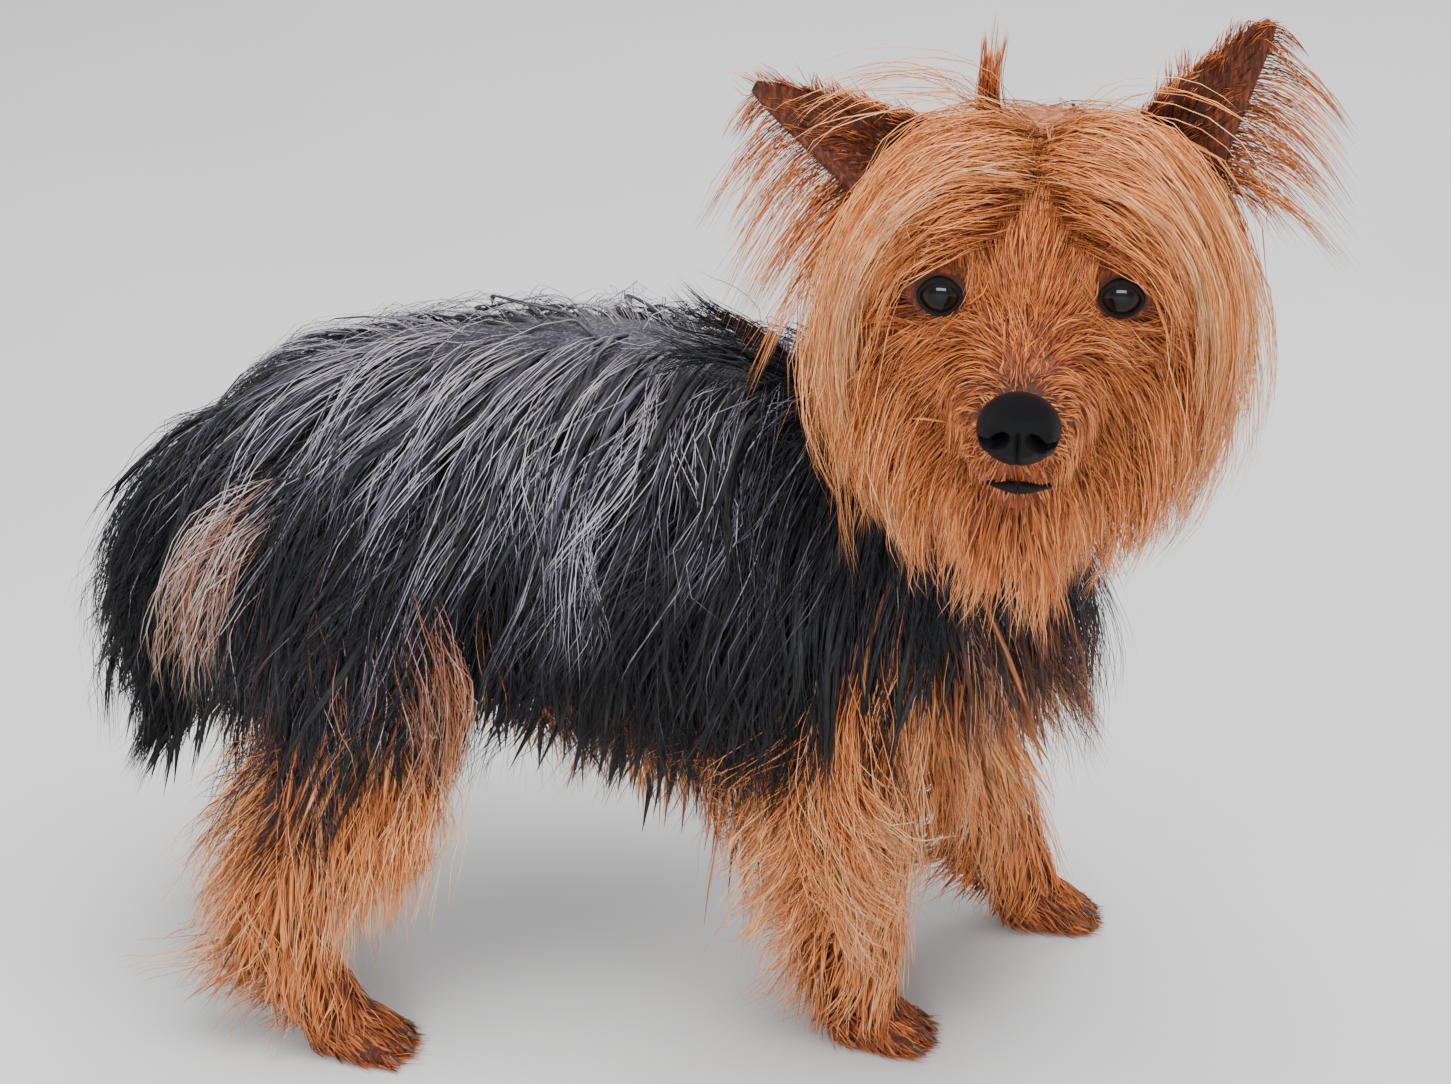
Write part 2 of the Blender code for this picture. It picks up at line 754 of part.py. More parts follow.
def head_locks(random_from):
    to_dog = head_matrix()
    spin = to_dog.to_3x3()
    own = core_trees(["head"])
    locks = []

    def add(inner, turn, rise, lie, length, clear, width):
        found = aimed(own, to_dog @ Vector(inner), turn, rise, spin)
        scale = random_from.uniform(0.92, 1.1)
        locks.append((*found, straight(spin @ Vector(lie)), length * scale, clear, width * scale))

    for side in (1, -1):
        for forward in (-4, -20, -38, -56):
            back = 0.12 if forward > -24 else -0.22
            add((forward, 0, 0), side * 90, 80, (back, side * 1.0, -0.75), 62, 15, 22)
        for forward in (-12, -31, -50):
            back = 0.05 if forward > -20 else -0.2
            add((forward, 0, 0), side * 90, 50, (back, side * 0.5, -1), 56, 15, 22)
        for rise, turn, length, clear in CHEEK_LOCKS:
            add((-30, 0, -12), side * turn, rise, (-0.12, side * 0.25, -1), length, clear, 20)
        for out, low in ((26, -14), (18, -30)):
            add((-30, side * out, low), side * 10, 0, (0.3, side * 0.5, -1), 36, 6, 15)
        for forward, rise in ((8, -12), (22, -24)):
            add((forward, 0, -19), side * 90, rise, (-0.5, side * 0.7, -0.8), 24, 4.5, 11)
        add((0, side * 10, 0), side * 35, 55, (-0.3, side * 0.3, 1), 22, 3, 10)
    add((-34, 0, 0), -90, 63, (0.2, 0.2, 1), 26, 24, 8)
    for rise, turns in ((20, (162, 198)), (-20, (162, 198))):
        for turn in turns:
            add((-34, 0, -8), turn, rise, (-0.15, 0, -1), 46, 8, 22)
    return locks


def jaw_locks(random_from):
    to_dog = head_matrix()
    spin = to_dog.to_3x3()
    own = core_trees(["jaw"])
    locks = []
    for forward, lefts in ((20, (0,)), (10, (-7, 8)), (-6, (0,))):
        for left in lefts:
            way = Vector((0, left * 0.03, -1)).normalized()
            found = surface_root(own, to_dog @ Vector((forward, left, -42)), spin @ way)
            lie = spin @ Vector((0.1, left * 0.03, -1))
            locks.append((*found, straight(lie), 42 * random_from.uniform(0.9, 1.1), 3, 14))
    return locks


def ear_locks(name, random_from):
    """A fringe along the outer edge of an ear, rooted in the middle of its wall."""
    rings = ear_rings(name)
    to_dog = head_matrix()
    half = len(rings[0]) // 2
    locks = []
    for level, length in EAR_FRINGE:
        wall = [to_dog @ ((rings[level][k] + rings[level][-1 - k]) / 2) for k in range(half)]
        if wall[-1].z < wall[0].z:
            wall.reverse()
        out = (wall[0] - wall[1]).normalized()
        locks.append((wall[0] + out * 0.6, out, straight(out * 0.4 - UP), length, 2.5, 9))
    return locks


def locks_of(name):
    """Root, way out, lie, length, clearance and width of every lock of a part."""
    random_from = random.Random(name)
    if name == "torso":
        return torso_locks(random_from)
    if name == "neck":
        return neck_locks(random_from)
    if name == "tail":
        return tail_locks(random_from)
    if name in ("thigh_right", "thigh_left"):
        return thigh_locks(name, random_from)
    if name in ("hindleg_right", "hindleg_left"):
        return leg_locks(name, random_from, (0.34, 0.58, 0.80))
    if name in ("foreleg_right", "foreleg_left"):
        return leg_locks(name, random_from, (0.40, 0.60, 0.80))
    if name == "head":
        return head_locks(random_from)
    if name == "jaw":
        return jaw_locks(random_from)
    if name in EARS:
        return ear_locks(name, random_from)
    return []


def combed(name, trees):
    """The paths of a part's locks with their widths."""
    made = []
    for root, out, lie, length, clear, width in locks_of(name):
        made.append((comb(trees, root, out, lie, length, clear), width))
    return made


# Every part, its colour, and the parts whose cores it is cut clear of. The locks of a part are
# cut clear of all other cores and of the locks of the parts before it.
NODES = [
    ("eye_left", "eye", ()),
    ("eye_right", "eye", ()),
    ("nose", "leather", ()),
    ("head", "tan", ("eye_left", "eye_right", "nose")),
    ("ear_left", "ear", ("head",)),
    ("ear_right", "ear", ("head",)),
    ("jaw", "tan", ("head",)),
    ("torso", "black_steel", ()),
    ("neck", "black_steel", ("torso", "head", "jaw")),
    ("tail", "black_steel", ("torso",)),
    ("thigh_right", "black_steel", ("torso",)),
    ("thigh_left", "black_steel", ("torso",)),
    ("hindleg_right", "tan", ("thigh_right", "torso")),
    ("hindleg_left", "tan", ("thigh_left", "torso")),
    ("foreleg_right", "tan", ("torso",)),
    ("foreleg_left", "tan", ("torso",)),
    ("hindpaw_right", "tan", ("hindleg_right",)),
    ("hindpaw_left", "tan", ("hindleg_left",)),
    ("forepaw_right", "tan", ("foreleg_right",)),
    ("forepaw_left", "tan", ("foreleg_left",)),
]


def floor_slab():
    bm = bmesh.new()
    bmesh.ops.create_cube(bm, size=600.0)
    bmesh.ops.translate(bm, vec=(0, 0, -300.0), verts=bm.verts[:])
    bmesh.ops.triangulate(bm, faces=bm.faces[:])
    return bm


def lid_openings(grow=0.0):
    return [placed(lid_opening(left, grow), head_matrix()) for left in eye_places().values()]


def extra_cuts(name):
    """Openings and flats that belong to one part."""
    if name == "head":
        return lid_openings()
    if name == "nose":
        return nostril_cuts()
    if name in PAWS:
        return [floor_slab()]
    return []


def cutters(bodies):
    return [solid("cutter", body) for body in bodies]


def grown_cores(names, grow):
    return cutters(piece for name in names for piece in core_pieces(name, grow))


def make_node(name, paint, clear_of, paths, earlier):
    """One closed body: the core cut clear of its neighbours, with its trimmed locks."""
    pieces = [solid(name, piece) for piece in core_pieces(name)]
    core = apply_boolean(pieces[0], pieces[1:], "UNION")
    cuts = grown_cores(clear_of, GAP) + cutters(extra_cuts(name))
    core = apply_boolean(core, cuts, "DIFFERENCE")
    if paths:
        locks = [solid("lock", lock_mesh(path, width)) for path, width in paths]
        coat = apply_boolean(locks[0], locks[1:], "UNION")
        others = [other for other, _, _ in NODES if other != name]
        cuts = grown_cores(others, LOCK_GAP) + cutters(lid_openings(0.5))
        cuts += cutters(lock_mesh(path, width, LOCK_GAP) for path, width in earlier)
        coat = apply_boolean(coat, cuts, "DIFFERENCE")
        core = apply_boolean(core, [coat], "UNION")
    keep_largest(core)
    core.data.materials.clear()
    core.data.materials.append(paint)
    return core


def main():
    clear_scene()
    paints = {
        "black_steel": material("black_steel", BLACK_STEEL, 0.55),
        "tan": material("tan", TAN, 0.6),
        "ear": material("ear_brown", EAR_BROWN, 0.7),
        "leather": material("leather_black", LEATHER_BLACK, 0.35),
        "eye": material("eye_brown", EYE_BROWN, 0.08),
    }
    stand = bpy.data.objects.new("stand_point", None)
    stand.location = Vector(SHIFT) * MM
    bpy.context.scene.collection.objects.link(stand)
    trees = core_trees([name for name, _, _ in NODES])
    earlier = []
    for name, paint, clear_of in NODES:
        paths = combed(name, trees)
        node = make_node(name, paints[paint], clear_of, paths, earlier)
        earlier += paths
        node.data.transform(Matrix.Scale(MM, 4))
        node.parent = stand
    bpy.context.view_layer.update()


main()
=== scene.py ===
"""The looks of the standing Yorkshire terrier: one skin with the coat's markings, a coat of fine
strands, eyes in dark lids, nose, lips and claws, on a pale floor in soft studio light.

Shapes are made in millimetres in the dog's own axes: it faces +X, its left is +Y and its soles
stand on z = 0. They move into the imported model's frame when the meshes are made.
"""

import copy
import json
import math

import bmesh
import bpy
import numpy as np
from mathutils import Matrix, Vector
from mathutils.bvhtree import BVHTree
from mathutils.kdtree import KDTree

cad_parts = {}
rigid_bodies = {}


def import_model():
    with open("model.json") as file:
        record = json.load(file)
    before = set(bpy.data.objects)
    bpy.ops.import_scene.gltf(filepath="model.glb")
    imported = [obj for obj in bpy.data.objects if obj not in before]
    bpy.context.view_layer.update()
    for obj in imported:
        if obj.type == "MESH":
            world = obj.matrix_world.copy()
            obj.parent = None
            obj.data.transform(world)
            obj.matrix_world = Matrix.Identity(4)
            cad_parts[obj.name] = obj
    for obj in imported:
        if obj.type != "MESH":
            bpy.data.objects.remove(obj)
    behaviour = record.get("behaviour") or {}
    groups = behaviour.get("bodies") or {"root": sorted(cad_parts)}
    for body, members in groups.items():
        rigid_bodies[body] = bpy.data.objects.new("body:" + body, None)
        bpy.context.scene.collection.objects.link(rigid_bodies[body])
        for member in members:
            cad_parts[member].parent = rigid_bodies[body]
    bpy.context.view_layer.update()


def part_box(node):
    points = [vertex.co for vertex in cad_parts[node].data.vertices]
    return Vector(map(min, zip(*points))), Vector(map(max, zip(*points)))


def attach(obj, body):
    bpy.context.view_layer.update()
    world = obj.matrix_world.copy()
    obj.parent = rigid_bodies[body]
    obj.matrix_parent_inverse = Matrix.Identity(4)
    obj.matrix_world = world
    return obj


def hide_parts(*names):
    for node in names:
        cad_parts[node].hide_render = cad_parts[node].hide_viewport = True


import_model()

MM = 0.001
SEED = 2077

EYE_MIDDLE = Vector((108.7, -85.0, 260.4))
HEAD_TURN = math.radians(-92.5)
HEAD_ROLL = math.radians(-1.5)
EYE_APART = 44.5
EYE_RADIUS = 8.6
LID_FLESH = 1.9  # how thick the lids are over the eyeball
EYE_FRONT = 2.0  # the lid openings lie more than this ahead of the eyes' middles
EYE_LIFT = 1.4  # the left eye shows this much higher, the right one lower
EYE_RAISE = 2.4  # both eyes show this much above the solids' eyes
SKULL_WIDTH = 66.0
MUZZLE_WIDTH = 28.0

# Rows are x, y, z of the middle, half width, reach up, reach down, share of the coat.
TORSO = [
    (-130, 0, 160, 9, 8, 8, 0.5),
    (-121, 0, 158, 26, 22, 25, 1),
    (-102, 0, 158, 36, 38, 39, 1),
    (-78, 0, 161, 39, 45, 47, 1),
    (-48, 0, 164, 39, 48, 46, 1),
    (-18, 0, 162, 42, 53, 52, 1),
    (14, 0, 157, 45, 54, 56, 1),
    (44, -2, 152, 46, 51, 56, 1),
    (74, -5, 149, 42, 46, 50, 1),
    (98, -9, 147, 33, 37, 38, 1),
    (113, -12, 145, 19, 23, 23, 0.8),
    (119, -13, 144, 7, 8, 8, 0.5),
]
TORSO_COAT = (15, 16, 12)
NECK = [
    (66, -4, 160, 30, 32, 30, 0.6),
    (84, -12, 184, 28, 30, 28, 1),
    (98, -22, 208, 26, 28, 26, 1),
    (106, -34, 230, 24, 24, 24, 0.8),
    (108, -48, 246, 20, 20, 20, 0.3),
]
NECK_COAT = (14, 14, 12)
TAIL = [
    (-108, 0, 178, 10, 10, 10, 0.3),
    (-125, -1, 172, 9, 9, 9, 0.5),
    (-138, -3, 158, 8, 8, 8, 0.8),
    (-145, -4, 140, 7, 7, 7, 1),
    (-146, -5, 121, 6, 6, 6, 1),
    (-142, -5, 102, 5, 5, 5, 1),
    (-137, -5, 88, 3, 3, 3, 0.8),
]
TAIL_COAT = (9, 7, 15)
NEAR_THIGH = [
    (-88, -22, 176, 18, 26, 26, 0.5),
    (-82, -34, 156, 17, 30, 32, 0.8),
    (-76, -42, 136, 15, 26, 28, 1),
    (-72, -47, 117, 13, 21, 22, 1),
    (-76, -49, 102, 11, 16, 17, 1),
]
NEAR_SHANK = [
    (-74, -48, 112, 11, 17, 18, 1),
    (-84, -50, 90, 9, 12, 13, 1.1),
    (-97, -52, 68, 7, 9, 9, 1.15),
    (-103, -53, 52, 6.5, 8, 8, 0.95),
    (-97, -54, 34, 6.5, 7.5, 7.5, 0.55),
    (-89, -55, 16, 8, 9, 8, 0.15),
]
NEAR_FOREARM = [
    (78, -30, 150, 15, 22, 22, 0.5),
    (68, -38, 126, 13, 18, 19, 0.8),
    (64, -40, 104, 11, 14, 14, 1),
    (66, -39, 80, 9, 11, 10, 1),
    (68, -38, 52, 8, 9, 8.5, 0.95),
    (69, -37, 30, 8, 8.5, 8, 0.55),
    (70, -37, 16, 9, 9, 8, 0.15),
]
FAR_FOREARM_LINE = [(84, 24), (78, 32), (80, 34), (90, 34), (104, 33), (113, 33), (118, 33)]
FAR_FOREARM = [(x, y, *row[2:]) for (x, y), row in zip(FAR_FOREARM_LINE, NEAR_FOREARM)]
LEG_COAT = (14, 17, 31)
THIGH_COAT = (13, 12, 14)
FAR_HIND_SHIFT = (-16, 8)
# The outline of the hair that hangs before the chest.
BIB = [
    (112, -14, 178, 26, 14, 20, 0),
    (122, -10, 150, 34, 18, 22, 0),
    (128, -6, 122, 34, 20, 24, 0),
    (124, -6, 98, 26, 14, 20, 0),
    (112, -8, 80, 14, 8, 12, 0),
]

# Rows of the head's sections: forward, middle height, half width, reach up, reach down.
SKULL = [
    (-68, 4, 0.18, 7, 7),
    (-60, 4, 0.60, 20, 20),
    (-44, 3, 0.93, 32, 32),
    (-26, 1, 1.00, 36, 37),
    (-10, -2, 0.98, 35, 35),
    (-1, -6, 0.90, 31, 31),
    (6, -12, 0.70, 21, 24.3),
]
MUZZLE = [
    (-4, -17, 1.40, 17, 19.3),
    (6, -17, 1.28, 14.5, 19.3),
    (15, -18.5, 1.12, 12, 17.8),
    (25, -20, 1.00, 10, 16.3),
    (32, -21, 0.88, 9, 15.3),
    (36, -22, 0.62, 6.5, 11),
]
JAW = [
    (-26, -41, 14.5, 6, 6),
    (-8, -42, 14.0, 7, 6),
    (12, -42, 12.5, 6, 5.5),
    (24, -42, 10.0, 6, 5),
    (31, -41.5, 6.0, 5, 3.5),
]
LIP = [  # forward, outward, height, radius
    (-10, 16.0, -34.6, 1.0),
    (6, 15.4, -35.0, 1.3),
    (20, 13.2, -35.4, 1.4),
    (31, 8.6, -35.8, 1.4),
    (35.4, 3.0, -34.4, 1.3),
]
# The outlines of the hair round the head and of the beard, with half widths in full.
HEAD_HAIR = [
    (-80, -6, 16, 20, 22),
    (-70, -8, 36, 38, 42),
    (-52, -12, 52, 50, 56),
    (-32, -20, 60, 61, 62),
    (-16, -24, 61, 62, 56),
    (-8, -28, 57, 55, 50),
    (2, -31, 49, 45, 44),
    (8, -35, 40, 30, 36),
]
BEARD = [
    (-26, -46, 26, 10, 22),
    (-8, -49, 32, 13, 31),
    (8, -51, 29, 13, 37),
    (20, -51, 20, 11, 32),
    (28, -48, 9, 8, 13),
]
# The hair lifts over the ears' feet: a tube from the parting outward, in the head's axes.
EAR_FOOT = [
    (-30, 6, 34, 8, 8, 8, 0),
    (-30, 24, 39, 13, 11, 11, 0),
    (-30, 44, 34, 16, 14, 16, 0),
    (-29, 56, 20, 12, 14, 16, 0),
]
NOSE = [
    (30, -19.4, 6.0, 5.0, 5.4),
    (33, -19.2, 7.6, 6.4, 6.6),
    (36, -19.2, 9.6, 8.2, 8.8),
    (39.5, -19.2, 10.3, 8.9, 9.3),
    (42.8, -19.3, 9.2, 7.6, 8.2),
    (45.2, -19.5, 6.0, 4.7, 5.2),
]
NOSTRIL = (44.6, 4.6, -20.4)  # the middle of the left one
# Ears: base and tip in the head's axes, then the way the cup opens.
EARS = {
    "ear_right": ((-31, -29, 17), (-35, -75, 38), (0.90, -0.2, 0.3)),
    "ear_left": ((-31, 28, 22), (-35, 54, 63), (0.92, 0.2, 0.1)),
}
EAR_WIDTH = 31.0
EAR_WALL = 2.0
EAR_FLATNESS = 0.62
EAR_LEVELS = 16
EAR_TURNS = 15  # points across a section of the cup
PAW_WIDTH = 22.0
PAD = [
    (-11, 0, 8, 7.0, 8, 7.8, 0),
    (-6, 0, 8.5, 9.0, 9, 8.3, 0),
    (3, 0, 8, 10.0, 7.5, 7.8, 0),
    (10, 0, 6.5, 9.0, 5.5, 6.3, 0),
]
TOE_SIZES = (0.96, 1.03, 1.0, 0.93)
TOE_MIDDLE = 1.45  # the paw's middle line lies between toes 1 and 2, counted from 0
PAWS = {
    "forepaw_right": (70.7, -36.4, -4),
    "forepaw_left": (121.5, 32.6, 4),
    "hindpaw_right": (-85, -54.6, -6),
    "hindpaw_left": (-101, 46.6, 6),
}

FLESH = [
    "head", "jaw", "neck", "torso", "tail", "ear_left", "ear_right",
    "thigh_right", "thigh_left", "hindleg_right", "hindleg_left",
    "foreleg_right", "foreleg_left", *PAWS,
]


def head_matrix():
    """From the head's own axes to the dog's."""
    turn = Matrix.Rotation(HEAD_TURN, 4, "Z") @ Matrix.Rotation(HEAD_ROLL, 4, "X")
    return Matrix.Translation(EYE_MIDDLE) @ turn


TO_DOG = head_matrix()
HEAD_SPIN = np.array(TO_DOG.to_3x3())
HEAD_ORIGIN = np.array(EYE_MIDDLE)


def row_shift():
    """From the dog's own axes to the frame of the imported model, in millimetres."""
    low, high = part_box("eye_left")
    return (low + high) / 2 / MM - TO_DOG @ Vector((0, EYE_APART / 2, 0))


SHIFT = row_shift()


def to_head(points):
    """Forward, left and up in the head's axes."""
    return (points - HEAD_ORIGIN) @ HEAD_SPIN


def from_head(points):
    return points @ HEAD_SPIN.T + HEAD_ORIGIN


def smooth_rows(rows, count):
    """Catmull-Rom through the rows, at count even steps."""
    rows = np.array(rows, float)
    padded = np.vstack([2 * rows[0] - rows[1], rows, 2 * rows[-1] - rows[-2]])
    made = []
    for place in np.linspace(0, len(rows) - 1, count):
        i = min(int(place), len(rows) - 2)
        t = place - i
        a, b, c, d = padded[i : i + 4]
        made.append(
            0.5 * (2 * b + (c - a) * t + (2 * a - 5 * b + 4 * c - d) * t**2
                   + (3 * b - a - 3 * c + d) * t**3)
        )
    return np.array(made)


def rings_to_mesh(rings, thin=False):
    """A closed bmesh through rings; a thin wall's ring runs back along its inside."""
    bm = bmesh.new()
    loops = [[bm.verts.new(p) for p in ring] for ring in rings]
    sides = len(loops[0])
    for low, high in zip(loops, loops[1:]):
        for i in range(sides):
            j = (i + 1) % sides
            bm.faces.new((low[i], low[j], high[j], high[i]))
    for loop in (loops[0], loops[-1]):
        if thin:
            for i in range(sides // 2 - 1):
                bm.faces.new((loop[i], loop[i + 1], loop[-2 - i], loop[-1 - i]))
        else:
            bm.faces.new(loop)
    bmesh.ops.recalc_face_normals(bm, faces=bm.faces[:])
    return bm


def section_axes(rows, i):
    """Side and up at row i of a path; side keeps close to the dog's left."""
    ahead = Vector(rows[min(i + 1, len(rows) - 1)][:3]) - Vector(rows[max(i - 1, 0)][:3])
    ahead.normalize()
    side = Vector((0, 1, 0))
    side = (side - ahead * side.dot(ahead)).normalized()
    return side, ahead.cross(side)


def oval(sides, up, down):
    """Steps round an oval: shares of its half width, and heights that reach up and down."""
    for k in range(sides):
        angle = 2 * math.pi * k / sides
        height = math.sin(angle)
        yield math.cos(angle), height * (up if height > 0 else down)


def tube(rows, count, sides, coat=(0, 0, 0), share=0):
    """Oval sections along a path; a coat of (side, up, down) depths is added by its share."""
    rows = smooth_rows(rows, count)
    rings = []
    for i, row in enumerate(rows):
        side, up = section_axes(rows, i)
        added = share * row[6]
        half = row[3] + added * coat[0]
        middle = Vector(row[:3])
        turns = oval(sides, row[4] + added * coat[1], row[5] + added * coat[2])
        rings.append([middle + side * half * c + up * height for c, height in turns])
    return rings_to_mesh(rings)


def outward_shape(rows, count, sides):
    """Oval sections along a path that runs outward, reaching forward, up and down."""
    return rings_to_mesh([
        [(f + half * c, l, u + height) for c, height in oval(sides, up, down)]
        for f, l, u, half, up, down, _ in smooth_rows(rows, count)
    ])


def head_shape(rows, width, count, sides):
    """Oval sections across the head's forward axis, in the head's axes."""
    return rings_to_mesh([
        [(forward, half * width / 2 * c, middle + height) for c, height in oval(sides, up, down)]
        for forward, middle, half, up, down in smooth_rows(rows, count)
    ])


def ball(radius, middle, scale=(1, 1, 1)):
    bm = bmesh.new()
    bmesh.ops.create_uvsphere(bm, u_segments=24, v_segments=16, radius=radius)
    bmesh.ops.scale(bm, vec=scale, verts=bm.verts[:])
    bmesh.ops.translate(bm, vec=middle, verts=bm.verts[:])
    return bm


def placed(bm, matrix):
    """The bmesh itself, moved."""
    bm.transform(matrix)
    bm.normal_update()
    return bm


def far_leg(rows):
    """The far hind leg: the near one mirrored and set back."""
    back, inward = FAR_HIND_SHIFT
    made = []
    for row in rows:
        fall = 1 - min(row[2], 176) / 176
        made.append((row[0] + back * fall, -row[1] - inward * fall, *row[2:]))
    return made


TUBES = {
    "torso": (TORSO, TORSO_COAT),
    "neck": (NECK, NECK_COAT),
    "tail": (TAIL, TAIL_COAT),
    "thigh_right": (NEAR_THIGH, THIGH_COAT),
    "thigh_left": (far_leg(NEAR_THIGH), THIGH_COAT),
    "hindleg_right": (NEAR_SHANK, LEG_COAT),
    "hindleg_left": (far_leg(NEAR_SHANK), LEG_COAT),
    "foreleg_right": (NEAR_FOREARM, LEG_COAT),
    "foreleg_left": (FAR_FOREARM, LEG_COAT),
}


def ear_axes(name):
    """An ear's foot, the ways along it, out of its cup and across it, and its height."""
    base, tip, opens = (Vector(v) for v in EARS[name])
    axis = (tip - base).normalized()
    front = (opens - axis * opens.dot(axis)).normalized()
    return base, axis, front, axis.cross(front), (tip - base).length


def ear_half(v):
    """Half the width of an ear's cup at a share of its height."""
    return EAR_WIDTH / 2 * (1 - v) ** 0.75 + 1.4 * v


def ear_rings(name):
    """Closed sections up an ear: the outside of the cup one way, its inside back."""
    base, axis, front, side, tall = ear_axes(name)
    rings = []
    for level in range(EAR_LEVELS):
        v = level / (EAR_LEVELS - 1)
        radius = ear_half(v)
        spread = math.radians(78 - 30 * v)
        thick = EAR_WALL * (1 - 0.35 * v)
        middle = base + axis * v * tall
        outer, inner = [], []
        for k in range(EAR_TURNS):
            angle = spread * (2 * k / (EAR_TURNS - 1) - 1)
            for points, r in ((outer, radius + thick / 2), (inner, radius - thick / 2)):
                across = side * r * math.sin(angle)
                deep = front * EAR_FLATNESS * (r * math.cos(angle) - radius / 2)
                points.append(middle + across - deep)
        rings.append(outer + inner[::-1])
    return rings


def toe_rows(toe):
    """Where a toe's knuckle is, ahead and across in the paw's axes, and the way it leans."""
    away = toe - TOE_MIDDLE
    return 12.2 - 1.4 * away**2, away * PAW_WIDTH * 0.25, away * 0.10


def paw_pieces(name):
    """A pad body with four toes."""
    pieces = [tube(PAD, 10, 20)]
    for toe, size in enumerate(TOE_SIZES):
        ahead, across, lean = toe_rows(toe)
        rows = [
            (ahead - 7.0, across, 4.0, 2.6 * size, 2.8 * size, 2.6, 0),
            (ahead, across, 4.0, 3.5 * size, 4.4 * size, 3.9, 0),
            (ahead + 5.0, across + lean * 4, 3.6, 2.7 * size, 3.0 * size, 3.5, 0),
            (ahead + 7.0, across + lean * 5, 3.2, 1.1, 1.2, 1.2, 0),
        ]
        pieces.append(tube(rows, 9, 12))
    return [placed(piece, paw_matrix(name)) for piece in pieces]


def paw_matrix(name):
    """From a paw's own axes to the dog's."""
    x, y, turn = PAWS[name]
    return Matrix.Translation((x, y, 0)) @ Matrix.Rotation(math.radians(turn), 4, "Z")


def lip_roll(side):
    """The rolled edge of the upper lip on one side, in the head's axes."""
    return tube([(f, side * out, z, r, r, r, 0) for f, out, z, r in LIP], 12, 10)


def eye_height(left):
    """How far an eye's middle is above the solids' eyes, from its side."""
    return EYE_RAISE + math.copysign(EYE_LIFT, left)


def from_eye(q):
    """Outward and up from the middle of the nearer eye, for points in the head's axes."""
    lift = EYE_RAISE + EYE_LIFT * np.sign(q[..., 1])
    return np.abs(q[..., 1]) - EYE_APART / 2, q[..., 2] - lift


def flesh_pieces():
    """The closed shapes whose union is the skin, but for the ears."""
    made = [tube(rows, 30, 32) for rows, _ in TUBES.values()]
    head = [
        head_shape(SKULL, SKULL_WIDTH, 24, 36),
        head_shape(MUZZLE, MUZZLE_WIDTH, 20, 30),
        head_shape(JAW, 2.0, 18, 20),
        lip_roll(1),
        lip_roll(-1),
    ]
    for left in (EYE_APART / 2, -EYE_APART / 2):
        head.append(ball(EYE_RADIUS + LID_FLESH, (-1.0, left, eye_height(left))))
    return with_paws(made, head)


def outline_pieces():
    """The closed shapes whose union is the outline of the coat."""
    made = [tube(rows, 16, 20, coat, 1.0) for rows, coat in TUBES.values()]
    made.append(tube(BIB, 10, 16))
    head = [
        head_shape(SKULL, SKULL_WIDTH, 12, 20),
        head_shape(MUZZLE, MUZZLE_WIDTH + 7, 10, 16),
        head_shape(HEAD_HAIR, 2.0, 14, 24),
        head_shape(BEARD, 2.0, 10, 16),
    ]
    for side in (1, -1):
        rows = [(row[0], side * row[1], *row[2:]) for row in EAR_FOOT]
        head.append(outward_shape(rows, 10, 16))
    return with_paws(made, head)


def with_paws(made, head):
    """The body's pieces, the head's moved from its own axes, and the paws'."""
    made += [placed(piece, TO_DOG) for piece in head]
    for name in PAWS:
        made += paw_pieces(name)
    return made


def mesh_of(name, bm):
    """A mesh from a bmesh, which is freed."""
    mesh = bpy.data.meshes.new(name)
    bm.to_mesh(mesh)
    bm.free()
    return mesh


def joined(pieces):
    """One bmesh of all the pieces."""
    whole = bmesh.new()
    for piece in pieces:
        mesh = mesh_of("piece", piece)
        whole.from_mesh(mesh)
        bpy.data.meshes.remove(mesh)
    return whole


def plain_object(name, mesh):
    obj = bpy.data.objects.new(name, mesh)
    bpy.context.scene.collection.objects.link(obj)
    return obj


def evaluated_mesh(obj):
    """The mesh with the object's modifiers applied; the object is removed."""
    bpy.context.view_layer.update()
    graph = bpy.context.evaluated_depsgraph_get()
    made = bpy.data.meshes.new_from_object(obj.evaluated_get(graph), depsgraph=graph)
    bpy.data.objects.remove(obj, do_unlink=True)
    return made


def voxel_union(pieces, voxel):
    """One closed mesh round all the pieces, of even quads."""
    obj = plain_object("joined", mesh_of("joined", joined(pieces)))
    step = obj.modifiers.new("remesh", "REMESH")
    step.mode = "VOXEL"
    step.voxel_size = voxel
    return evaluated_mesh(obj)


def read(items, name, width, kind=float):
    """One property of a mesh's items as an array, width numbers for each."""
    made = np.empty(len(items) * width, kind)
    items.foreach_get(name, made)
    return made.reshape(-1, width)


def coordinates(mesh):
    return read(mesh.vertices, "co", 3)


def triangles(mesh):
    """The mesh's triangles as places in its points and in its corners."""
    mesh.calc_loop_triangles()
    return (read(mesh.loop_triangles, name, 3, int) for name in ("vertices", "loops"))


def tree_of(places):
    """A tree that finds the nearest of the places."""
    tree = KDTree(len(places))
    for i, place in enumerate(places.tolist()):
        tree.insert(place, i)
    tree.balance()
    return tree


def nearest(tree, places):
    """For each place, the number of the nearest one in the tree."""
    return [tree.find(place)[1] for place in places.tolist()]


def relaxed(mesh, co, times, share=0.5):
    """Each point moved by a share towards the middle of its neighbours."""
    pairs = read(mesh.edges, "vertices", 2, int)
    both = np.vstack([pairs, pairs[:, ::-1]])
    count = np.bincount(both[:, 0], minlength=len(co))[:, None]
    for _ in range(times):
        total = np.stack(
            [np.bincount(both[:, 0], co[both[:, 1], k], len(co)) for k in range(3)], axis=1
        )
        co = co + share * (total / np.maximum(count, 1) - co)
    return co


def set_coordinates(mesh, co):
    mesh.vertices.foreach_set("co", np.ascontiguousarray(co, float).ravel())
    mesh.update()


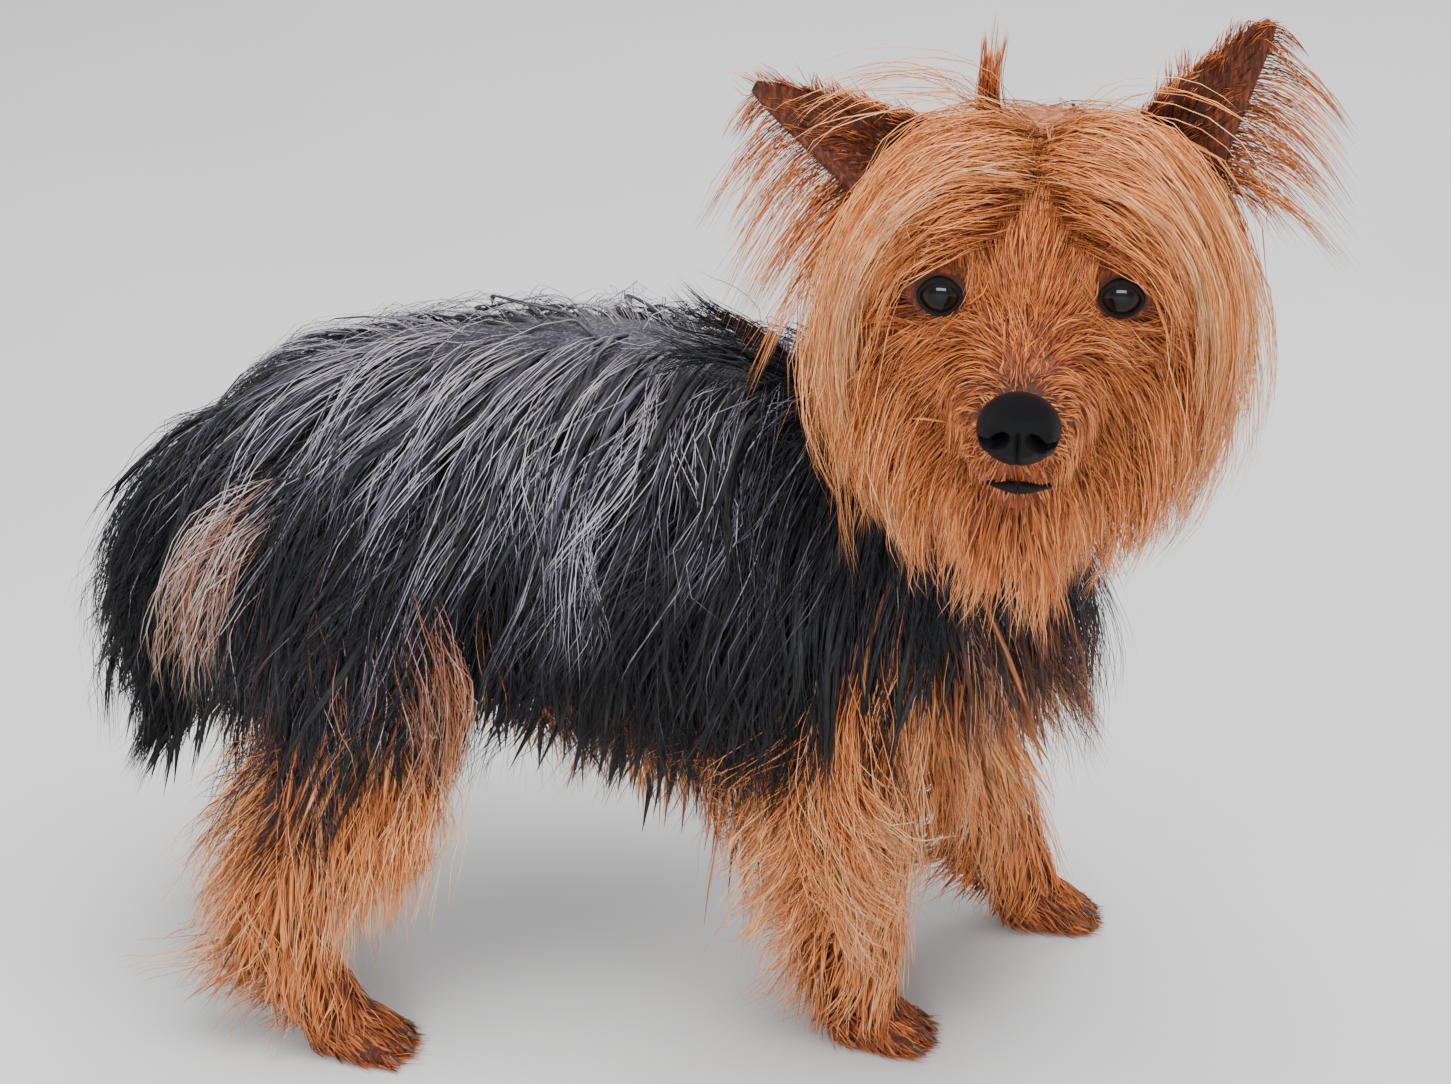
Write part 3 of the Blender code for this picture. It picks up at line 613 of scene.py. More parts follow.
def unit(v):
    return v / np.maximum(np.linalg.norm(v, axis=-1, keepdims=True), 1e-9)


def dot(a, b):
    """Products of rows, in a column."""
    return np.sum(a * b, axis=-1, keepdims=True)


def smoothstep(x, low, high):
    """From 0 at low to 1 at high, with soft ends."""
    t = np.clip((x - low) / (high - low), 0, 1)
    return t * t * (3 - 2 * t)


class Field:
    """Signed distance to a closed mesh, less than nothing inside, and its slope, on a grid."""

    CELL = 4.0
    MARGIN = 34.0
    FAR = 60.0

    def __init__(self, mesh):
        co = coordinates(mesh)
        tris, _ = triangles(mesh)
        tree = BVHTree.FromPolygons(co.tolist(), tris.tolist())
        self.low = co.min(0) - self.MARGIN
        self.count = np.ceil((co.max(0) + self.MARGIN - self.low) / self.CELL).astype(int) + 1
        values = np.full(self.count.prod(), self.FAR)
        near = self.near_cells(co)
        places = self.low + np.stack(np.unravel_index(near, self.count), axis=1) * self.CELL
        for k, place in zip(near.tolist(), places.tolist()):
            place = Vector(place)
            hit, normal, _, distance = tree.find_nearest(place)
            values[k] = -distance if (place - hit).dot(normal) < 0 else distance
        values = values.reshape(self.count)
        self.table = np.stack([values, *np.gradient(values, self.CELL)], axis=-1)

    def near_cells(self, co):
        """The grid points within the margin of the mesh, and all those among them."""
        mark = np.zeros(self.count, bool)
        index = ((co - self.low) / self.CELL).astype(int)
        reach = int(self.MARGIN / self.CELL) - 1
        seeds = np.unique(index, axis=0)
        mark[seeds[:, 0], seeds[:, 1], seeds[:, 2]] = True
        for axis in range(3):
            grown = mark.copy()
            for k in range(1, reach + 1):
                grown |= np.roll(mark, k, axis) | np.roll(mark, -k, axis)
            mark = grown
        return np.flatnonzero(mark)

    def sample(self, points):
        """Distance and unit slope at the points."""
        place = (points - self.low) / self.CELL
        base = np.clip(place.astype(int), 0, self.count - 2)
        part = np.clip(place - base, 0, 1)
        total = np.zeros((len(points), 4))
        for corner in range(8):
            bits = np.array([corner >> 2 & 1, corner >> 1 & 1, corner & 1])
            weight = np.prod(np.where(bits, part, 1 - part), axis=1)
            at = base + bits
            total += weight[:, None] * self.table[at[:, 0], at[:, 1], at[:, 2]]
        return total[:, 0], unit(total[:, 1:])


SKIN_VOXEL = 1.7
OUTLINE_VOXEL = 3.0
NOSE_VOXEL = 0.38
LOWEST_SKIN = 0.3
LID_WIDE = 5.1
LID_HIGH = 4.5
LID_SHARP = 0.22
LID_DROP = 0.2  # the opening's middle lies this much below the eye's
EYE_SINK = 7.4  # the socket's floor lies inside the eyeball


def lid_ring(count, grow):
    """Points round a lid opening, left and up from the eye's middle."""
    made = []
    for k in range(count):
        angle = 2 * math.pi * k / count
        high = LID_HIGH * (1 - LID_SHARP * math.cos(angle) ** 2) + grow
        made.append(((LID_WIDE + grow) * math.cos(angle), high * math.sin(angle) - LID_DROP))
    return made


def eye_oval(q, wide, high, drop=0.0):
    """Below 1 inside an oval round the nearer eye, for places in the head's axes."""
    a, b = from_eye(q)
    return (a / wide) ** 2 + ((b + drop) / high) ** 2


def open_sockets(co):
    """Sinks the skin inside the lid openings to a floor inside the eyeballs."""
    q = to_head(co)
    a, b = from_eye(q)
    high = LID_HIGH * (1 - LID_SHARP * (a / LID_WIDE) ** 2)
    inside = ((a / LID_WIDE) ** 2 + ((b + LID_DROP) / high) ** 2 < 1) & (q[:, 0] > EYE_FRONT)
    side = np.sign(q[inside, 1:2])
    middle = side * [0, EYE_APART / 2, EYE_LIFT] + [0, 0, EYE_RAISE]
    q[inside] = middle + unit(q[inside] - middle) * EYE_SINK
    return from_head(q)


def skin_mesh():
    """The skin without its ears, smoothed, above the floor, open at the eyes."""
    mesh = voxel_union(flesh_pieces(), SKIN_VOXEL)
    co = relaxed(mesh, coordinates(mesh), 3)
    co[:, 2] = np.maximum(co[:, 2], LOWEST_SKIN)
    set_coordinates(mesh, open_sockets(co))
    return mesh


def add_ears(mesh):
    """Joins the ears' thin cups to the skin with one Boolean."""
    body = plain_object("body", mesh)
    group = bpy.data.collections.new("ears")
    bpy.context.scene.collection.children.link(group)
    for name in EARS:
        cup = mesh_of(name, placed(rings_to_mesh(ear_rings(name), thin=True), TO_DOG))
        group.objects.link(bpy.data.objects.new(name, cup))
    step = body.modifiers.new("join", "BOOLEAN")
    step.operand_type = "COLLECTION"
    step.collection = group
    step.operation = "UNION"
    step.solver = "MANIFOLD"
    made = evaluated_mesh(body)
    for ear in list(group.objects):
        bpy.data.objects.remove(ear, do_unlink=True)
    bpy.data.collections.remove(group)
    return made


def unwrap(obj):
    """A map named OFBake on the object's own shape."""
    obj.data.uv_layers.new(name="OFBake")
    bpy.ops.object.select_all(action="DESELECT")
    bpy.context.view_layer.objects.active = obj
    obj.select_set(True)
    bpy.ops.object.mode_set(mode="EDIT")
    bpy.ops.mesh.select_all(action="SELECT")
    bpy.ops.uv.smart_project(angle_limit=math.radians(70), island_margin=0.001)
    bpy.ops.object.mode_set(mode="OBJECT")
    obj.select_set(False)


class Surface:
    """The skin's triangles, with what a root needs to know of its place."""

    BLUR = 1.6  # how far the borders between kinds of hair stray
    TRIES = 6  # random places for each cell of the spacing

    def __init__(self, mesh):
        self.co = coordinates(mesh)
        self.tris, loops = triangles(mesh)
        self.uv = read(mesh.uv_layers["OFBake"].data, "uv", 2)[loops]
        self.normals = read(mesh.vertices, "normal", 3)
        a, b, c = (self.co[self.tris[:, k]] for k in range(3))
        self.area = np.linalg.norm(np.cross(b - a, c - a), axis=1) / 2
        self.middle = (a + b + c) / 3
        self.out = unit(self.normals[self.tris].sum(1))
        self.parts = part_names(self.middle)
        self.in_head = to_head(self.middle)
        stray = np.random.default_rng(SEED).normal(0, self.BLUR, self.middle.shape)
        self.border = self.in_head + stray
        self.on_ear = ear_share(self.middle) > 0.5
        self.tree = tree_of(self.middle)

    def map_places(self, places):
        """The map places of the triangles nearest to the places."""
        return self.uv[nearest(self.tree, places)].mean(1)

    def scatter(self, chosen, spacing, rng):
        """Roots spread evenly over the chosen triangles: places, ways out and map places."""
        index = np.flatnonzero(chosen)
        weight = self.area[index]
        count = int(weight.sum() / spacing**2 * self.TRIES)
        picks = index[rng.choice(len(index), count, p=weight / weight.sum())]
        u, v = rng.random(count), rng.random(count)
        over = u + v > 1
        u[over], v[over] = 1 - u[over], 1 - v[over]
        shares = np.stack([1 - u - v, u, v], axis=1)
        places = blended(shares, self.co[self.tris[picks]])
        cells = np.floor(places / spacing + rng.random(3)).astype(int)
        _, first = np.unique(cells, axis=0, return_index=True)
        shares, picks, places = shares[first], picks[first], places[first]
        outs = unit(blended(shares, self.normals[self.tris[picks]]))
        return places, outs, blended(shares, self.uv[picks])


def blended(shares, corners):
    """Values at places in triangles, from the shares of their corners."""
    return np.einsum("nk,nkc->nc", shares, corners)


def tube_nearness(points, rows, size):
    """Distance to a tube's middle line in shares of its own radius."""
    best = np.full(len(points), 1e9)
    for row, radius in zip(rows, size):
        best = np.minimum(best, np.linalg.norm(points - row[:3], axis=1) / radius)
    return best


def part_names(points):
    """The name of the part that each point of the skin belongs to."""
    names, near = [], []
    for name, (rows, _) in TUBES.items():
        fine = smooth_rows(rows, 26)
        names.append(name)
        near.append(tube_nearness(points, fine, fine[:, 3:6].mean(1)))
    q = to_head(points)
    for name, rows, width in (
        ("head", SKULL, SKULL_WIDTH), ("head", MUZZLE, MUZZLE_WIDTH), ("jaw", JAW, 2.0)
    ):
        fine = smooth_rows(rows, 20)
        middle = np.stack([fine[:, 0], 0 * fine[:, 0], fine[:, 1]], axis=1)
        size = (fine[:, 2] * width / 2 + fine[:, 3] + fine[:, 4]) / 3
        names.append(name)
        near.append(tube_nearness(q, middle, size))
    for name, (x, y, _) in PAWS.items():
        away = np.linalg.norm(points[:, :2] - (x, y), axis=1)
        names.append(name)
        near.append(np.where((points[:, 2] < 15) & (away < 26), 0.0, 1e9))
    return np.array(names)[np.argmin(near, axis=0)]


def tan_share(points, parts):
    """How likely a strand is tan rather than steel."""
    x, _, z = points.T
    share = np.zeros(len(points))
    torso = parts == "torso"
    shoulder = smoothstep(x, 44, 84) * smoothstep(-z, -182, -140)
    share[torso] = (0.7 * smoothstep(-z, -132, -108) + 0.62 * shoulder)[torso]
    share[parts == "neck"] = 0.05
    thigh = np.char.startswith(parts, "thigh")
    front = smoothstep(x, -66, -48)
    share[thigh] = (smoothstep(-z, -152, -94) + 0.7 * front * smoothstep(-z, -168, -138))[thigh]
    fore = np.char.startswith(parts, "foreleg")
    share[fore] = smoothstep(-z, -164, -116)[fore]
    hind = np.char.startswith(parts, "hindleg")
    share[hind] = smoothstep(-z, -116, -84)[hind]
    paws = np.char.find(parts, "paw") >= 0
    share[paws | np.isin(parts, ["head", "jaw"])] = 1.0
    return np.clip(share, 0, 1)


def tan_tone(points, parts):
    """From deep rust, 0, to cream, 1, for tan places."""
    z = points[:, 2]
    tone = np.full(len(points), 0.68)
    tone -= 0.32 * smoothstep(-z, -52, -8)
    f, _, u = to_head(points).T
    head = np.isin(parts, ["head", "jaw"])
    crown = smoothstep(u, 8, 34)
    muzzle = smoothstep(f, 2, 16) * smoothstep(-u, 0, 12)
    low = smoothstep(-u, 10, 45)
    tone[head] = (0.51 + 0.18 * crown - 0.05 * muzzle + 0.06 * low)[head]
    return tone


def silver_tone(points, parts):
    """From black, 0, to silver, 1, for steel places; lighter towards the top of the back as a
    painted highlight.
    """
    x, _, z = points.T
    # painted highlight: the rise in silver along the top of the back stands for the light from
    # above
    tone = 0.29 + 0.62 * smoothstep(z, 174, 219) * smoothstep(-x, -80, -36)
    tone[parts == "tail"] = 0.10
    tone[parts == "neck"] = 0.30
    tone[np.char.startswith(parts, "thigh")] = 0.38
    return tone


SKIN_CLEAR = 0.4  # paths stay this far above the skin
LOWEST_PATH = 1.0


def comb(field, outline, roots, outs, lie, length, layer, slack, hair):
    """Paths that follow the lie and rise to their layer between the skin and the outline."""
    n, steps = len(roots), hair.steps
    path, ups = np.empty((n, steps + 1, 3)), np.empty((n, steps + 1, 3))
    path[:, 0], ups[:, 0] = roots - outs * hair.sink, outs
    place, up, heading = roots, outs, None
    step = (length / steps)[:, None]
    for k in range(1, steps + 1):
        share = k / steps
        flow = lie(place, up)
        hang = smoothstep(-up[:, 2:], 0.15, 0.75)
        flow = unit(unit(flow) - up * dot(unit(flow), up) * (1 - hang))
        heading = flow if heading is None else unit(heading + flow)
        target = place + heading * step
        target[:, 2] -= hair.droop * step[:, 0] * share
        to_skin, skin_up = field.sample(target)
        to_outline, outline_up = outline.sample(target)
        a = layer * share**hair.rise
        height = (1 - a) * to_skin + a * to_outline
        away = unit((1 - a)[:, None] * skin_up + a[:, None] * outline_up)
        target += away * np.maximum(SKIN_CLEAR - height, 0)[:, None]
        over = np.maximum(to_outline - slack, 0) * (1 - share * (1 - hair.follow))
        target -= outline_up * over[:, None]
        target[:, 2] = np.maximum(target[:, 2], LOWEST_PATH)
        heading = unit(target - place)
        place, up = target, unit(up + away)
        path[:, k], ups[:, k] = place, up
    return path, ups


def along_shares(steps):
    """Shares along a path, from 0 at its root to 1 at its tip."""
    return np.arange(steps + 1) / steps


def wave(path, ups, length, height, wavelength, phase):
    """Sways each path sideways by its own height, more towards the tip."""
    t = along_shares(path.shape[1] - 1)
    tangent = unit(np.gradient(path, axis=1))
    side = unit(np.cross(tangent, ups))
    turn = 2 * np.pi * length[:, None] * t / np.reshape(wavelength, (-1, 1)) + phase[:, None]
    sway = height[:, None] * t**0.8 * (np.sin(turn) - np.sin(phase)[:, None] * (1 - t))
    lift = 0.35 * height[:, None] * t**0.8 * np.cos(turn * 0.9)
    return path + side * sway[:, :, None] + ups * lift[:, :, None]


LONE_SHARE = 0.09  # the strands that hardly join their tuft
LONE_PULL = 0.15
MOST_PULL = 0.93


def clump(path, roots, spacing, strength, loose, rng):
    """Draws paths towards a guide strand near their root, most at the tip."""
    cells = np.floor(roots / spacing + rng.random(3)).astype(int)
    _, first = np.unique(cells, axis=0, return_index=True)
    guide = first[nearest(tree_of(roots[first]), roots)]
    t = along_shares(path.shape[1] - 1)
    own = strength * (0.75 + 0.4 * rng.random(len(path)))
    own[rng.random(len(path)) < LONE_SHARE] *= LONE_PULL
    pull = np.clip(own, 0, MOST_PULL)[:, None] * smoothstep(t, 0.05, 0.95)
    spread = (rng.random((len(path), 1, 3)) - 0.5) * loose * (1 - 0.4 * t)[None, :, None]
    return path + pull[:, :, None] * (path[guide] + spread - path), guide


UV_PATCH = 0.003  # the side of a strand's place in the map
STRAND_APART = 97  # sets each strand's noise apart from its neighbours'


def strand_faces(rings):
    """Corners and corner counts of a closed three-sided strand that ends in a point."""
    faces = []
    for r in range(rings - 1):
        for c in range(3):
            d = (c + 1) % 3
            faces.append((3 * r + c, 3 * r + d, 3 * r + 3 + d, 3 * r + 3 + c))
    last = 3 * (rings - 1)
    faces += [(last + c, last + (c + 1) % 3, 3 * rings) for c in range(3)]
    faces.append((2, 1, 0))
    return np.array([i for face in faces for i in face]), np.array([len(face) for face in faces])


def strand_points(path, ups, width, flat):
    """Each strand's rings of two low corners and a high one, then its tip."""
    rings = path.shape[1] - 1
    tangent = unit(np.gradient(path, axis=1))
    side = unit(np.cross(tangent, ups))
    over = np.cross(side, tangent)[:, :rings]
    side, middle = side[:, :rings], path[:, :rings]
    t = along_shares(rings)[:rings]
    wide = (width[:, None] / 2 * (0.75 + 0.5 * t) * (1 - t**3) ** 0.8)[:, :, None]
    low, high = over * wide * 0.45 * flat, over * wide * 0.75 * flat
    corners = [middle - side * wide - low, middle + side * wide - low, middle + high]
    corners = np.stack(corners, axis=2).reshape(len(path), rings * 3, 3)
    return np.concatenate([corners, path[:, -1:]], axis=1)


def build_strands(name, path, ups, width, length, uv, looks, paint, flat=1.0):
    """A mesh of strands that taper to a point; flat below 1 thins them."""
    co, rings = strand_points(path, ups, width, flat), path.shape[1] - 1
    n, per, _ = co.shape
    along = np.append(np.repeat(along_shares(rings)[:rings], 3), 1.0)
    across = np.append(np.tile([0.0, 1.0, 0.5], rings), 0.5)
    pattern, totals = strand_faces(rings)
    loops = (per * np.arange(n)[:, None] + pattern).ravel()
    mesh = mesh_from(name, co.reshape(-1, 3), loops, np.tile(totals, n))
    tan, chance, tone = looks
    set_four(mesh, "looks", (n, per), tan[:, None], chance[:, None], along, tone[:, None])
    set_four(mesh, "strand", (n, per), (across - 0.5) * width[:, None],
             along * length[:, None], chance[:, None] * STRAND_APART, 1)
    patch = np.stack([across - 0.5, along - 0.5], axis=1) * UV_PATCH
    places = (uv[:, None] + patch).reshape(-1, 2)[loops]
    mesh.uv_layers.new(name="OFBake").data.foreach_set("uv", np.clip(places, 0, 1).ravel())
    mesh.materials.append(paint)
    return plain_object(name, mesh)


def mesh_from(name, co, loops, totals):
    """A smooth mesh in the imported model's frame, from points in the dog's axes."""
    mesh = bpy.data.meshes.new(name)
    mesh.vertices.add(len(co))
    mesh.loops.add(len(loops))
    mesh.polygons.add(len(totals))
    mesh.vertices.foreach_set("co", ((co + np.array(SHIFT)) * MM).ravel())
    mesh.loops.foreach_set("vertex_index", loops)
    starts = np.concatenate([[0], np.cumsum(totals)[:-1]])
    mesh.polygons.foreach_set("loop_start", starts)
    mesh.polygons.foreach_set("use_smooth", np.ones(len(totals), bool))
    mesh.update(calc_edges=True)
    return mesh


def set_four(mesh, name, shape, *values):
    """Four numbers a point for a material.

    Looks are tan, chance, place along and tone; strand is the place across and along in
    millimetres and a number of the strand's own.
    """
    four = np.stack([np.broadcast_to(value, shape) for value in values], axis=-1)
    layer = mesh.attributes.new(name, "FLOAT_COLOR", "POINT")
    layer.data.foreach_set("color", four.astype(float).ravel())


def sided(left):
    """1 on the left and -1 on the right."""
    return np.where(left > 0, 1.0, -1.0)


def torso_lie(roots, outs, rng):
    """From the parting down the flank, and back over the rump."""
    side = sided(roots[:, 1] + rng.normal(0, 4.0, (len(roots), 3))[:, 1] + 2)
    drift = rng.normal(0, 0.14, len(roots))

    def lie(place, up):
        top = np.maximum(up[:, 2], 0)
        back = 0.12 + 0.5 * smoothstep(-place[:, 0], -10, 105) + 0.4 * top
        out = side * 0.6 * top
        return np.stack([-back + drift, out, -np.ones(len(place))], axis=1)
    return lie


def fixed_lie(way, wobble=0.12, spread=0.0):
    """One way for all, with a little chance in it; spread adds the root's own way out."""
    def make(roots, outs, rng):
        ways = np.array(way, float) + rng.normal(0, wobble, (len(roots), 3)) + spread * outs
        return lambda place, up: ways
    return make


def leg_lie(roots, outs, rng):
    """Down the leg, and back along its rear."""
    sway = rng.normal(0, 0.18, (len(roots), 3)) + outs * [0.35, 0.3, 0]

    def lie(place, up):
        back = np.maximum(-up[:, 0], 0)
        ways = np.stack([-1.1 * back, 0.25 * up[:, 1], -1 + 0.4 * back], axis=1)
        return ways + sway
    return lie


EYE_CLEAR = 11.0  # hair nearer than this to an eye's middle is pushed away
EYE_EDGE = 5  # the push is strongest nearer than this
NOSE_HEIGHT = -19.0


def head_lie(ways):
    """Turns ways in the head's axes to the dog's, parted round the eyes."""
    def lie(place, up):
        q = to_head(place)
        way = unit(ways(q, up @ HEAD_SPIN))
        a, b = from_eye(q)
        near = np.hypot(a, b)
        push = 1.2 * smoothstep(EYE_CLEAR - near, 0, EYE_CLEAR - EYE_EDGE) * (q[:, 0] > -6)
        push /= np.maximum(near, 1)
        way[:, 1] += push * a * np.sign(q[:, 1])
        way[:, 2] += push * b
        return way @ HEAD_SPIN.T
    return lie


def crown_lie(ahead, fall):
    """From the parting outward, then down between the two distances of fall."""
    def make(roots, outs, rng):
        q = to_head(roots)
        side = sided(q[:, 1] + rng.normal(0, 6.0, len(q)))
        drift = rng.normal(0, 0.16, len(q))

        def ways(place, up):
            turn = np.radians(2 + 84 * smoothstep(side * place[:, 1], *fall))
            back = 0.3 * smoothstep(-place[:, 0], 34, 60)
            return np.stack([ahead - back + drift, side * np.cos(turn), -np.sin(turn)], axis=1)
        return head_lie(ways)
    return make


def face_lie(way):
    """Outward from the middle of the face along one way, by side."""
    def make(roots, outs, rng):
        q = to_head(roots)
        side = sided(q[:, 1] + rng.normal(0, 1.5, len(q)))
        own = np.stack([np.full(len(q), way[0]), side * way[1], np.full(len(q), way[2])], axis=1)
        own += rng.normal(0, 0.14, (len(q), 3))
        return head_lie(lambda place, up: own)
    return make


def radial_lie(back, fall):
    """Away from the nose on every side, backward by a share and bent down by another."""
    def make(roots, outs, rng):
        chance = rng.normal(0, 0.13, (len(roots), 3))

        def ways(place, up):
            away = unit(place * [0, 1, 1] - np.array([0, 0, NOSE_HEIGHT]))
            away[:, 0] -= back
            away[:, 2] -= fall * smoothstep(np.abs(place[:, 1]), 4, 22)
            return unit(away) + chance
        return head_lie(ways)
    return make


class Hair:
    """A kind of hair: where it grows, its lie, and the numbers of its strands and tufts.

    Lengths are in millimetres, layer is a range of shares from the skin to the outline, slack
    is how far a strand may pass the outline, and under is the spacing and width of the tufts.
    """

    def __init__(self, name, where, lie, spacing, steps, length, layer, **more):
        self.name, self.where, self.lie = name, where, lie
        self.spacing, self.steps, self.length, self.layer = spacing, steps, length, layer
        self.droop, self.slack, self.follow = 0.2, 3.0, 0.0
        self.sink, self.rise = 1.0, 0.6
        self.sway, self.wavelength, self.tuft, self.hold = 1.0, 30.0, 6.0, 0.6
        self.width, self.flat, self.tone, self.silver = 0.5, 1.0, 0.0, 0.0
        self.chance, self.loose, self.ears, self.crisp = 1.0, 2.4, 1.0, 4.0
        self.under = (5.0, 2.2)
        self.reach = None  # a share of the length, from the roots' places
        for key, value in more.items():
            setattr(self, key, value)


def tufts_of(hair):
    """The flat tufts that lie low under a kind of hair's strands, darkened as painted shade
    between the strands.
    """
    made = copy.copy(hair)
    made.name = hair.name + "_tufts"
    made.spacing, made.width = hair.under
    made.steps = max(hair.steps - 3, 3)
    made.length, made.layer = (hair.length[0] * 0.75, hair.length[1] * 0.85), (0.05, 0.55)
    made.slack = min(hair.slack, 3)
    made.sway, made.wavelength = hair.sway * 0.7, hair.wavelength * 1.3
    made.hold, made.loose, made.flat, made.chance, made.ears = 0.5, 2.4, 0.35, 0.3, 1.0
    # painted shade: the tufts are darker than their strands, so that they read as the shade
    # between them
    made.tone, made.silver = hair.tone - 0.13, hair.silver - 0.36
    return made


def on_head(test):
    """Roots on the head that pass a test of forward, outward and up."""
    def where(parts, places, normals, q):
        f, l, u = q.T
        eye = eye_oval(q, 5.3, 4.6) < 1
        bare = (f > 38) | ((f > 30) & (np.abs(l) < 4.5) & (u > -13))
        return (parts == "head") & ~(eye & (f > 0)) & ~bare & test(f, np.abs(l), u)
    return where


# The places of the head's kinds of hair, by forward, outward and up.
def muzzle_place(f, l, u):
    return (f > 8) & (u < -7)


def bridge_place(f, l, u):
    return (f > -4) & (l < 21 - 0.3 * np.maximum(u, 0)) & (u < 27) & ~muzzle_place(f, l, u)


def brow_place(f, l, u):
    return (f > -16) & (u > 10) & ~bridge_place(f, l, u)


def crown_place(f, l, u):
    return (f <= -16) & (u > 16)


def face_place(f, l, u):
    return (f > -6) & (u <= 10) & ~muzzle_place(f, l, u) & ~bridge_place(f, l, u)


def side_place(f, l, u):
    return (f <= -6) & (u <= 18) & (f > -52) & (l > 12) & ~crown_place(f, l, u)


def nape_place(f, l, u):
    return (f <= -52) & (u <= 18)


def throat_place(f, l, u):
    return (f <= -6) & (u <= 18) & (f > -52) & (l <= 12)


def on_parts(*names):
    """Roots on any of the named parts."""
    return lambda parts, places, normals, q: np.isin(parts, names)


# The body's kinds of hair, by part, place, way out and place in the head's axes.
def on_beard(parts, places, normals, q):
    return (parts == "jaw") & (normals[:, 2] < 0.85)


def on_chest(parts, places, normals, q):
    return (parts == "torso") & (places[:, 0] > 84) & (normals[:, 0] > 0.25)


def on_rump(parts, places, normals, q):
    return (parts == "torso") & (places[:, 0] < -100) & (normals[:, 0] < -0.35)


def on_flank(parts, places, normals, q):
    chest = on_chest(parts, places, normals, q)
    return (parts == "torso") & ~chest & ~on_rump(parts, places, normals, q)


SHAFTS = ("hindleg_right", "hindleg_left", "foreleg_right", "foreleg_left")


def on_fringe(parts, places, normals, q):
    return np.isin(parts, SHAFTS) & (normals[:, 0] < -0.2) & (places[:, 2] > 16)


def on_shaft(parts, places, normals, q):
    return np.isin(parts, SHAFTS) & ~on_fringe(parts, places, normals, q)


def muzzle_reach(roots):
    """Short at the nose and the edge of the lip, long at the back of the moustache."""
    away = np.linalg.norm(to_head(roots) - (38, 0, -20), axis=1)
    return 0.2 + 0.8 * smoothstep(away, 7, 34)


def belly_reach(roots):
    """Shorter below, so that the legs stay free, but for a fringe along the belly."""
    down = -roots[:, 2]
    return 1 - 0.5 * smoothstep(down, -158, -130) + 0.4 * smoothstep(down, -124, -108)


def leg_reach(roots):
    """Shorter near the ground."""
    return np.clip(roots[:, 2] / 50, 0.3, 1)


def side_reach(roots):
    """The curtains end at a line that falls towards the beard, wherever their roots are."""
    _, l, u = to_head(roots).T
    return np.clip((u + 74 + 0.9 * (33 - np.abs(l))) / 95, 0.25, 1.15)


def beard_reach(roots):
    """Longest in the middle, so that the beard ends in a point."""
    return 1 - 0.5 * smoothstep(np.abs(to_head(roots)[:, 1]), 3, 14)


def face_reach(roots):
    """Short beside the nose and the eyes, longer on the cheeks."""
    return 0.35 + 0.65 * smoothstep(np.abs(to_head(roots)[:, 1]), 16, 34)


